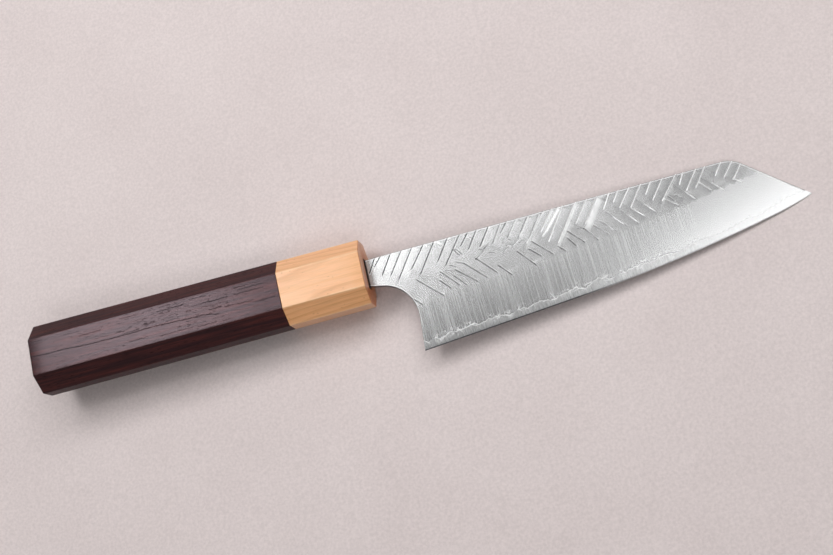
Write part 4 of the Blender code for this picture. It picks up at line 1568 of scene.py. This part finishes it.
    def build(self, materials: Materials) -> None:
        """Make the three layers and dress them."""
        strike = self.strike_tree()
        for side in Side:
            name = side.name.lower()
            blows = self.blows(side)
            piece = self.cladding_blank("blade_cladding_" + name, self.cladding_plan(blows), blows)
            marks = add_piece("blows_" + name, [(*b.start, 0.0) for b in blows], [], {
                "heading": [(*b.heading, 0.0) for b in blows],
                "reach_facet_bite": [(b.reach, b.facet, b.bite) for b in blows],
                "lead_and_fade": [(b.lead, b.fade, 0.0) for b in blows]})
            run_tree(piece, strike, {
                "Blows": marks, "Blow Count": len(blows), "Side": side.value,
                "Seed": 10.0 * side.value, "Material": materials[self.steel.name],
                **self.strike_sizes(), **self.grind_sizes()})
            bpy.data.objects.remove(marks)
            soften(piece, self.cladding_crease)
            dress(piece, self.steel, materials, "cladding_" + name)
        core = self.core_blank("blade_core")
        run_tree(core, self.grind_tree(), {"Material": materials[self.core_steel.name],
                                           **self.grind_sizes()})
        soften(core, self.core_crease)
        dress(core, self.core_steel, materials, "core_steel")


# Handle.

# Sides of the holes that are cut in it, and how far a cut runs past its end, in millimetres.
ROUND, SQUARE = 40, 4
CUT_PAST = 2.0
# Steps round each arris, and the strip beside it, in the arris's radius.
ARRIS_STEPS = 4
ARRIS_STRIP = 2.4
# The filler's corners: a superellipse with this power, drawn with this many points.
FILLER_POWER = 2.0 / 9.0
FILLER_TURNS = 48


@dataclass
class Handle:
    """The octagonal handle: body, ferrule, and the filler round the neck."""

    length: float = 138.0
    thickness: float = 20.4
    butt_width: float = 28.0
    front_width: float = 26.0
    butt_chamfer: float = 6.6
    front_chamfer: float = 6.0
    butt_ease: float = 0.8
    ferrule_length: float = 33.0
    ferrule_ease: float = 0.4
    ferrule_proud: float = 0.5
    joint_gap: float = 0.10
    joint_ease: float = 0.12
    arris_radius: float = 0.35
    bore_radius: float = 6.75
    bore_end: float = -60.3
    pocket_radius: float = 4.95
    pocket_end: float = -97.45
    mortise_depth: float = 7.0
    mortise_half: Point = (6.2, 2.3)
    neck_middle: float = -0.275
    crease: float = 24.0
    filler_crease: float = 35.0
    seal_half: Point = (6.05, 2.15)
    neck_half: Point = (5.40, 1.48)
    rosewood: WoodFinish = field(default_factory=lambda: WoodFinish(
        "rosewood_oiled", "rosewood", ground=(0.024, 0.006, 0.007),
        figure=(0.008, 0.003, 0.004), streak=(0.110, 0.024, 0.018),
        pore=(0.002, 0.001, 0.001), worn=(0.045, 0.020, 0.018),
        ring_lie=(0.004, 0.35, 0.94), ring_width=2.1, ring_share=0.5, streak_share=0.6,
        pore_share=0.5, pore_length=3.5, pore_width=0.27, wear=0.3, roughness=0.24,
        coat=0.0, specular=0.36, shine=(1.0, 0.82, 0.90), depth=0.012, seed=3.0, fibre=0.4,
        chamfer_rough=0.3,
        pore_run=((-138.0, 0.5), (-131.5, 0.0), (-122.5, -0.2), (-115.0, -0.7),
                  (-105.0, -0.9), (-97.0, -1.0), (-85.0, -0.8), (-79.5, -1.0),
                  (-70.5, -1.4), (-63.0, -1.7), (-60.0, -2.5)),
        vessels=((-115.5, -107.0, 3.5, 0.26, 0.9), (-123.0, -115.0, 5.5, 0.2, 0.4),
                 (-107.0, -104.0, 0.6, 0.22, 0.6), (-100.5, -97.5, 0.6, 0.26, 0.9),
                 (-97.5, -92.0, 5.8, 0.2, 0.6), (-98.0, -91.5, -0.4, 0.22, 0.7),
                 (-95.5, -90.0, -4.2, 0.28, 0.8), (-91.0, -89.0, 2.7, 0.2, 0.5),
                 (-89.5, -84.5, 0.9, 0.22, 0.8), (-111.5, -109.5, -5.8, 0.22, 0.7),
                 (-82.5, -72.0, 4.6, 0.28, 0.75), (-81.5, -77.5, 6.1, 0.2, 0.6),
                 (-79.5, -75.5, 0.0, 0.2, 0.5), (-71.5, -68.5, 1.6, 0.22, 0.6),
                 (-69.0, -63.0, 5.9, 0.2, 0.6), (-83.0, -69.5, -5.1, 0.2, 0.75),
                 (-67.0, -60.0, -5.5, 0.22, 0.85), (-57.0, -54.0, -5.7, 0.2, 0.6),
                 (-68.0, -63.5, 3.1, 0.2, 0.6), (-64.5, -54.0, 3.1, 0.3, 0.95),
                 (-50.5, -39.0, 3.1, 0.27, 0.95), (-48.5, -39.0, 4.6, 0.27, 0.9),
                 (-50.5, -45.0, 5.75, 0.24, 0.8), (-42.5, -40.5, 5.75, 0.2, 0.7),
                 (-61.5, -57.0, -0.1, 0.3, 0.9), (-63.0, -54.0, 1.5, 0.18, 0.45),
                 (-55.0, -52.0, -0.6, 0.24, 0.8), (-50.0, -44.0, -0.9, 0.26, 0.8),
                 (-43.0, -35.0, -1.8, 0.24, 0.85))))
    pale_wood: WoodFinish = field(default_factory=lambda: WoodFinish(
        "pale_wood_oiled", "pale_wood", ground=(0.93, 0.50, 0.245),
        figure=(0.60, 0.225, 0.058), streak=(0.78, 0.355, 0.128), pore=(0.42, 0.175, 0.055),
        worn=(0.94, 0.64, 0.38), ring_lie=(-0.043, 0.10, 1.0), ring_width=1.9,
        ring_shift=0.8, ring_share=0.6, streak_share=0.4, pore_share=0.08, pore_length=1.6,
        pore_width=0.3, wear=0.55, roughness=0.34, coat=0.6, depth=0.008, seed=21.0,
        fibre=0.10))
    filler: FillerFinish = field(default_factory=lambda: FillerFinish(
        "neck_filler_black", "black_filler"))

    def octagon_sizes(self) -> dict[str, float]:
        """The sizes that the octagon's tree needs."""
        return sizes_of(self, "length", "thickness", "front_width", "butt_width",
                        "front_chamfer", "butt_chamfer", "arris_radius")

    def octagon_tree(self) -> bpy.types.NodeTree:
        """The tree that gives a net of rings the handle's tapered, eased octagon."""
        net = Group("GeometryNodeTree", "tapered_octagon", {
            "Geometry": "Geometry", **self.octagon_sizes(), "Material": "Material"}, "Geometry")
        given = net.given
        x, inset, _ = net.result("GeometryNodeInputPosition").parts
        rearward = x * -1.0 / given["Length"]

        def tapered(size: str) -> Field:
            """A size that runs evenly from the front to the butt."""
            return net.mix(rearward, given["Front " + size], given["Butt " + size],
                           clamp_factor=False)

        chamfer = tapered("Chamfer") - inset * (2.0 - sqrt(2.0))
        sign_y, sign_z, flank = net.mark("corner", "FLOAT_VECTOR").parts
        y = sign_y * (tapered("Width") * 0.5 - inset - flank * chamfer)
        z = sign_z * (given["Thickness"] * 0.5 - inset - (1.0 - flank) * chamfer)
        eased = net.mark("ease", "FLOAT_VECTOR") * given["Arris Radius"]
        return close_tree(net, net.result("GeometryNodeSetPosition", {
            "Geometry": given["Geometry"], "Position": net.join(x, y, z) + eased}))

    def ring_net(self, name: str, stations: Sequence[Point]) -> bpy.types.Object:
        """A closed net of rings for the octagon tree.

        Args:
            name: the object's name.
            stations: x and inset of each ring, from the rear.

        Returns:
            The object. Its points carry their corner, easing and nearness to an arris.
        """
        ring = []
        for sign_y, sign_z, flank in ((1, -1, 0), (1, 1, 0), (1, 1, 1), (-1, 1, 1),
                                      (-1, 1, 0), (-1, -1, 0), (-1, -1, 1), (1, -1, 1)):
            side = np.array([sign_y, 0.0] if flank == 0 else [0.0, sign_z])
            slope = np.array([sign_y, sign_z]) / sqrt(2.0)
            first, last = ((slope, side) if sign_y * sign_z * (1 - 2 * flank) < 0
                           else (side, slope))
            middle = (first + last) / (1.0 + first @ last)
            quarter = [np.array([v[1], -v[0]]) for v in (first, last)]
            corner = (sign_y, sign_z, flank)
            ring.append((corner, first - middle + ARRIS_STRIP * quarter[0], 0.0))
            for share in np.linspace(0.0, 1.0, ARRIS_STEPS + 1):
                mixed = first * (1.0 - share) + last * share
                ring.append((corner, mixed / np.hypot(*mixed) - middle, 1.0))
            ring.append((corner, last - middle - ARRIS_STRIP * quarter[1], 0.0))
        points = [(x, inset, 0.0) for x, inset in stations for _ in ring]
        turned = len(stations)
        return add_piece(name, points, tube_faces(turned, len(ring)), {
            "corner": [c for c, _, _ in ring] * turned,
            "ease": [(0.0, float(e[0]), float(e[1])) for _, e, _ in ring] * turned,
            "arris": [a for _, _, a in ring] * turned})

    @staticmethod
    def quarter(start: float, radius: float, toward_front: bool) -> list[Point]:
        """Stations of a rounded end edge: x and inset, in order from the rear."""
        steps = 5
        turns = [0.5 * pi * i / steps for i in range(steps + 1)]
        if toward_front:
            return [(start - radius + radius * sin(t), radius * (1.0 - cos(t))) for t in turns]
        return [(start + radius - radius * cos(t), radius * (1.0 - sin(t))) for t in turns]

    @staticmethod
    def hollow(piece: bpy.types.Object, front: float, back: float, half: Point,
               sides: int = ROUND, middle: float = 0.0) -> None:
        """Cut a hole along X.

        Args:
            piece: the object to cut.
            front: where the hole starts.
            back: where it ends, nearer the butt.
            half: its half height and half width.
            sides: ROUND or SQUARE.
            middle: height of its middle line.
        """
        turns = [2.0 * pi * (i + 0.5) / sides for i in range(sides)]
        reach = 1.0 / cos(pi / sides) if sides == SQUARE else 1.0
        ring = [(half[0] * reach * cos(t), half[1] * reach * sin(t)) for t in turns]
        points = [packed(x, y + middle, z) for x in (back, front) for y, z in ring]
        cutter = add_piece("cutter", points, tube_faces(2, sides), {})
        modifier = piece.modifiers.new("hollow", "BOOLEAN")
        modifier.operation = "DIFFERENCE"
        modifier.solver = "EXACT"
        modifier.object = cutter
        keep_result(piece)
        bpy.data.objects.remove(cutter)

    def build_body(self, tree: bpy.types.NodeTree, materials: Materials) -> None:
        """The rosewood body with the bores for the dowel and the tang."""
        front = -self.ferrule_length - self.joint_gap
        rear = self.quarter(-self.length, self.butt_ease, False)
        run = [(x, 0.0) for x in np.linspace(rear[-1][0], front - self.joint_ease, 16)[1:]]
        body = self.ring_net("handle_rosewood_body", rear + run + [(front, self.joint_ease)])
        run_tree(body, tree, {"Material": materials[self.rosewood.name],
                              **self.octagon_sizes()})
        self.hollow(body, front + CUT_PAST, self.bore_end, (self.bore_radius,) * 2)
        self.hollow(body, self.bore_end + CUT_PAST, self.pocket_end, (self.pocket_radius,) * 2)
        soften(body, self.crease)
        dress(body, self.rosewood, materials, "handle_body")

    def build_ferrule(self, tree: bpy.types.NodeTree, materials: Materials) -> None:
        """The pale ferrule with its bore and the mortise for the neck."""
        rear = -self.ferrule_length
        front = self.quarter(self.ferrule_proud, self.ferrule_ease, True)
        run = [(x, 0.0) for x in np.linspace(rear + self.joint_ease, front[0][0], 8)[:-1]]
        ferrule = self.ring_net("handle_pale_ferrule", [(rear, self.joint_ease)] + run + front)
        run_tree(ferrule, tree, {"Material": materials[self.pale_wood.name],
                                 **self.octagon_sizes()})
        self.hollow(ferrule, -self.mortise_depth, rear - CUT_PAST, (self.bore_radius,) * 2)
        self.hollow(ferrule, CUT_PAST, -self.mortise_depth - CUT_PAST, self.mortise_half,
                    SQUARE, self.neck_middle)
        soften(ferrule, self.crease)
        dress(ferrule, self.pale_wood, materials, "ferrule")

    def build_filler(self, materials: Materials) -> None:
        """Filler round the neck, drawn in at its face as it set."""
        bottom = -self.mortise_depth + 0.15
        rings = [(bottom, 0.0), (-0.10, 0.0), (-0.22, 0.18), (-0.34, 0.45), (-0.30, 0.8),
                 (-0.16, 1.0), (bottom, 1.0)]
        points = []
        for x, share in rings:
            half = [a + (b - a) * share for a, b in zip(self.seal_half, self.neck_half)]
            for i in range(FILLER_TURNS):
                turn = 2.0 * pi * i / FILLER_TURNS
                y, z = (size * abs(v) ** FILLER_POWER * (1.0 if v > 0.0 else -1.0)
                        for size, v in zip(half, (cos(turn), sin(turn))))
                points.append(packed(x + self.ferrule_proud, y + self.neck_middle, z))
        seal = add_piece("neck_filler", points,
                         grid_faces(len(rings), FILLER_TURNS, closed=True, looped=True), {})
        soften(seal, self.filler_crease)
        dress(seal, self.filler, materials, "mouth_seal")

    def build(self, materials: Materials) -> None:
        """Make the body, the ferrule and the filler."""
        tree = self.octagon_tree()
        self.build_body(tree, materials)
        self.build_ferrule(tree, materials)
        self.build_filler(materials)


@dataclass
class Joinery:
    """What is hidden in the handle: the slotted dowel and the adhesive behind it."""

    dowel_wood: WoodFinish = field(default_factory=lambda: WoodFinish(
        "dowel_wood_plain", "dowel_wood", ground=(0.62, 0.45, 0.25), figure=(0.45, 0.28, 0.13),
        streak=(0.68, 0.52, 0.32), pore=(0.38, 0.24, 0.12), worn=(0.60, 0.44, 0.26),
        ring_lie=(0.01, 0.8, 0.6), ring_width=1.8, ring_share=0.5, streak_share=0.5,
        pore_share=0.3, pore_length=2.0, pore_width=0.3, wear=0.0, roughness=0.62, coat=0.0,
        depth=0.01, seed=40.0))
    adhesive: FillerFinish = field(default_factory=lambda: FillerFinish(
        "amber_adhesive_set", "amber_adhesive", dark=(0.36, 0.17, 0.045),
        pale=(0.52, 0.29, 0.10), roughness=0.3, bubble=0.8))

    def build(self, materials: Materials) -> None:
        """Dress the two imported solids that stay."""
        for node, finish in (("tang_dowel", self.dowel_wood), ("tang_bedding", self.adhesive)):
            solid = frame["nodes"][node]
            for slot in solid.material_slots:
                slot.material = materials[finish.name]
            log.info("%s: packed solid in %s", node, finish.name)


# Studio.

# The place on the blade that every light faces, in metres.
LIT_PLACE = (0.03, -0.01, 0.01)


@dataclass(frozen=True)
class Softbox:
    """A soft square white light, with its middle and its size in metres."""

    name: str
    middle: tuple
    size: Point
    radiance: float

    def build(self) -> None:
        """Hang the light."""
        data = bpy.data.lights.new(self.name, "AREA")
        data.shape = "RECTANGLE"
        data.size, data.size_y = self.size
        data.energy = self.radiance * pi * self.size[0] * self.size[1]
        light = bpy.data.objects.new(self.name, data)
        light.location = self.middle
        aim = Vector(LIT_PLACE) - Vector(self.middle)
        light.rotation_euler = aim.to_track_quat("-Z", "Y").to_euler()
        bpy.context.scene.collection.objects.link(light)


@dataclass
class Studio:
    """Floor, lights and camera. The knife rests on its ferrule and its point."""

    camera_place: tuple = (0.0721450, -0.1155756, 0.4937486)
    camera_turn: tuple = (11.59232, 11.01679, -12.97233)
    lens: float = 56.18
    floor_size: float = 3.0
    floor_cells: int = 24
    floor_gap: float = 0.02
    rest_front: Point = (0.0, -10.2)
    rest_point: Point = (172.0, 0.0)
    air: tuple = (1.0, 0.985, 0.975)
    horizon: float = 0.024
    zenith: float = 0.165
    near_side: float = 0.3
    air_rise: Point = (0.12, 0.45)
    near_rise: Point = (-0.4, 0.06)
    softboxes: tuple = (
        Softbox("softbox_handle", (-0.52, 0.27, 1.0), (0.24, 0.30), 8.5),
        Softbox("softbox_handle_edge", (-0.35, 0.27, 1.0), (0.10, 0.30), 6.1),
        Softbox("softbox_middle", (0.0, 0.30, 1.0), (0.14, 0.26), 0.8),
        Softbox("softbox_front", (0.20, -0.04, 1.0), (0.30, 0.14), 1.28),
        Softbox("softbox_step", (0.21, 0.08, 1.0), (0.16, 0.08), 1.4),
        Softbox("softbox_right_near", (0.34, 0.005, 1.0), (0.10, 0.23), 2.1),
        Softbox("softbox_right", (0.52, 0.16, 1.0), (0.26, 0.54), 2.05),
        Softbox("softbox_above", (0.0, 0.68, 1.0), (1.8, 0.44), 3.6),
        Softbox("softbox_near", (0.0, -0.60, 1.0), (0.8, 0.4), 3.0))
    floor_finish: FloorFinish = field(default_factory=lambda: FloorFinish(
        "pinkish_board", "floor"))

    def build_floor(self, materials: Materials) -> None:
        """A board that touches the ferrule's lower front edge and the blade's point."""
        (x0, z0), (x1, z1) = self.rest_front, self.rest_point
        slope = (z1 - z0) / (x1 - x0)
        rest_x, _, rest_z = packed(x0, 0.0, z0 - self.floor_gap)
        places = self.floor_size * (np.arange(self.floor_cells + 1) / self.floor_cells - 0.5)
        points = [(x, y, rest_z + slope * (x - rest_x)) for y in places for x in places]
        floor = add_piece("floor_board", points, grid_faces(len(places), len(places)), {})
        floor.data.materials.append(materials[self.floor_finish.name])

    def build(self, materials: Materials) -> None:
        """Set up the floor, the lights, the world and the camera."""
        scene = bpy.context.scene
        self.build_floor(materials)
        for softbox in self.softboxes:
            softbox.build()
        world = bpy.data.worlds.new("studio_air")
        world.use_nodes = True
        network = Network(world.node_tree)
        background = world.node_tree.nodes["Background"]
        background.inputs["Color"].default_value = (*self.air, 1.0)
        _, across, up = network.result("ShaderNodeTexCoord", output="Generated").parts
        height = up.span(*self.air_rise, self.horizon, self.zenith, kind="SMOOTHSTEP")
        side = across.span(*self.near_rise, self.near_side, 1.0, kind="SMOOTHSTEP")
        network.feed(background.inputs["Strength"], height * side)
        scene.world = world
        data = bpy.data.cameras.new("view")
        data.lens = self.lens
        data.sensor_width = 36.0
        data.clip_start = 0.01
        camera = bpy.data.objects.new("view", data)
        camera.location = self.camera_place
        camera.rotation_euler = Euler([radians(v) for v in self.camera_turn], "XYZ")
        scene.collection.objects.link(camera)
        scene.camera = camera
        scene.view_settings.view_transform = "Standard"


def main() -> None:
    """Build, dress and light the knife."""
    logging.basicConfig(level=logging.INFO, format="%(name)s: %(message)s")
    effects = Effects()
    blade, handle, joinery, studio = Blade(), Handle(), Joinery(), Studio()
    finishes = (blade.steel, blade.core_steel, handle.rosewood, handle.pale_wood,
                handle.filler, joinery.dowel_wood, joinery.adhesive, studio.floor_finish)
    materials = {finish.name: finish.build(effects) for finish in finishes}
    blade.build(materials)
    handle.build(materials)
    joinery.build(materials)
    studio.build(materials)
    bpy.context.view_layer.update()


if __name__ == "__main__":
    main()
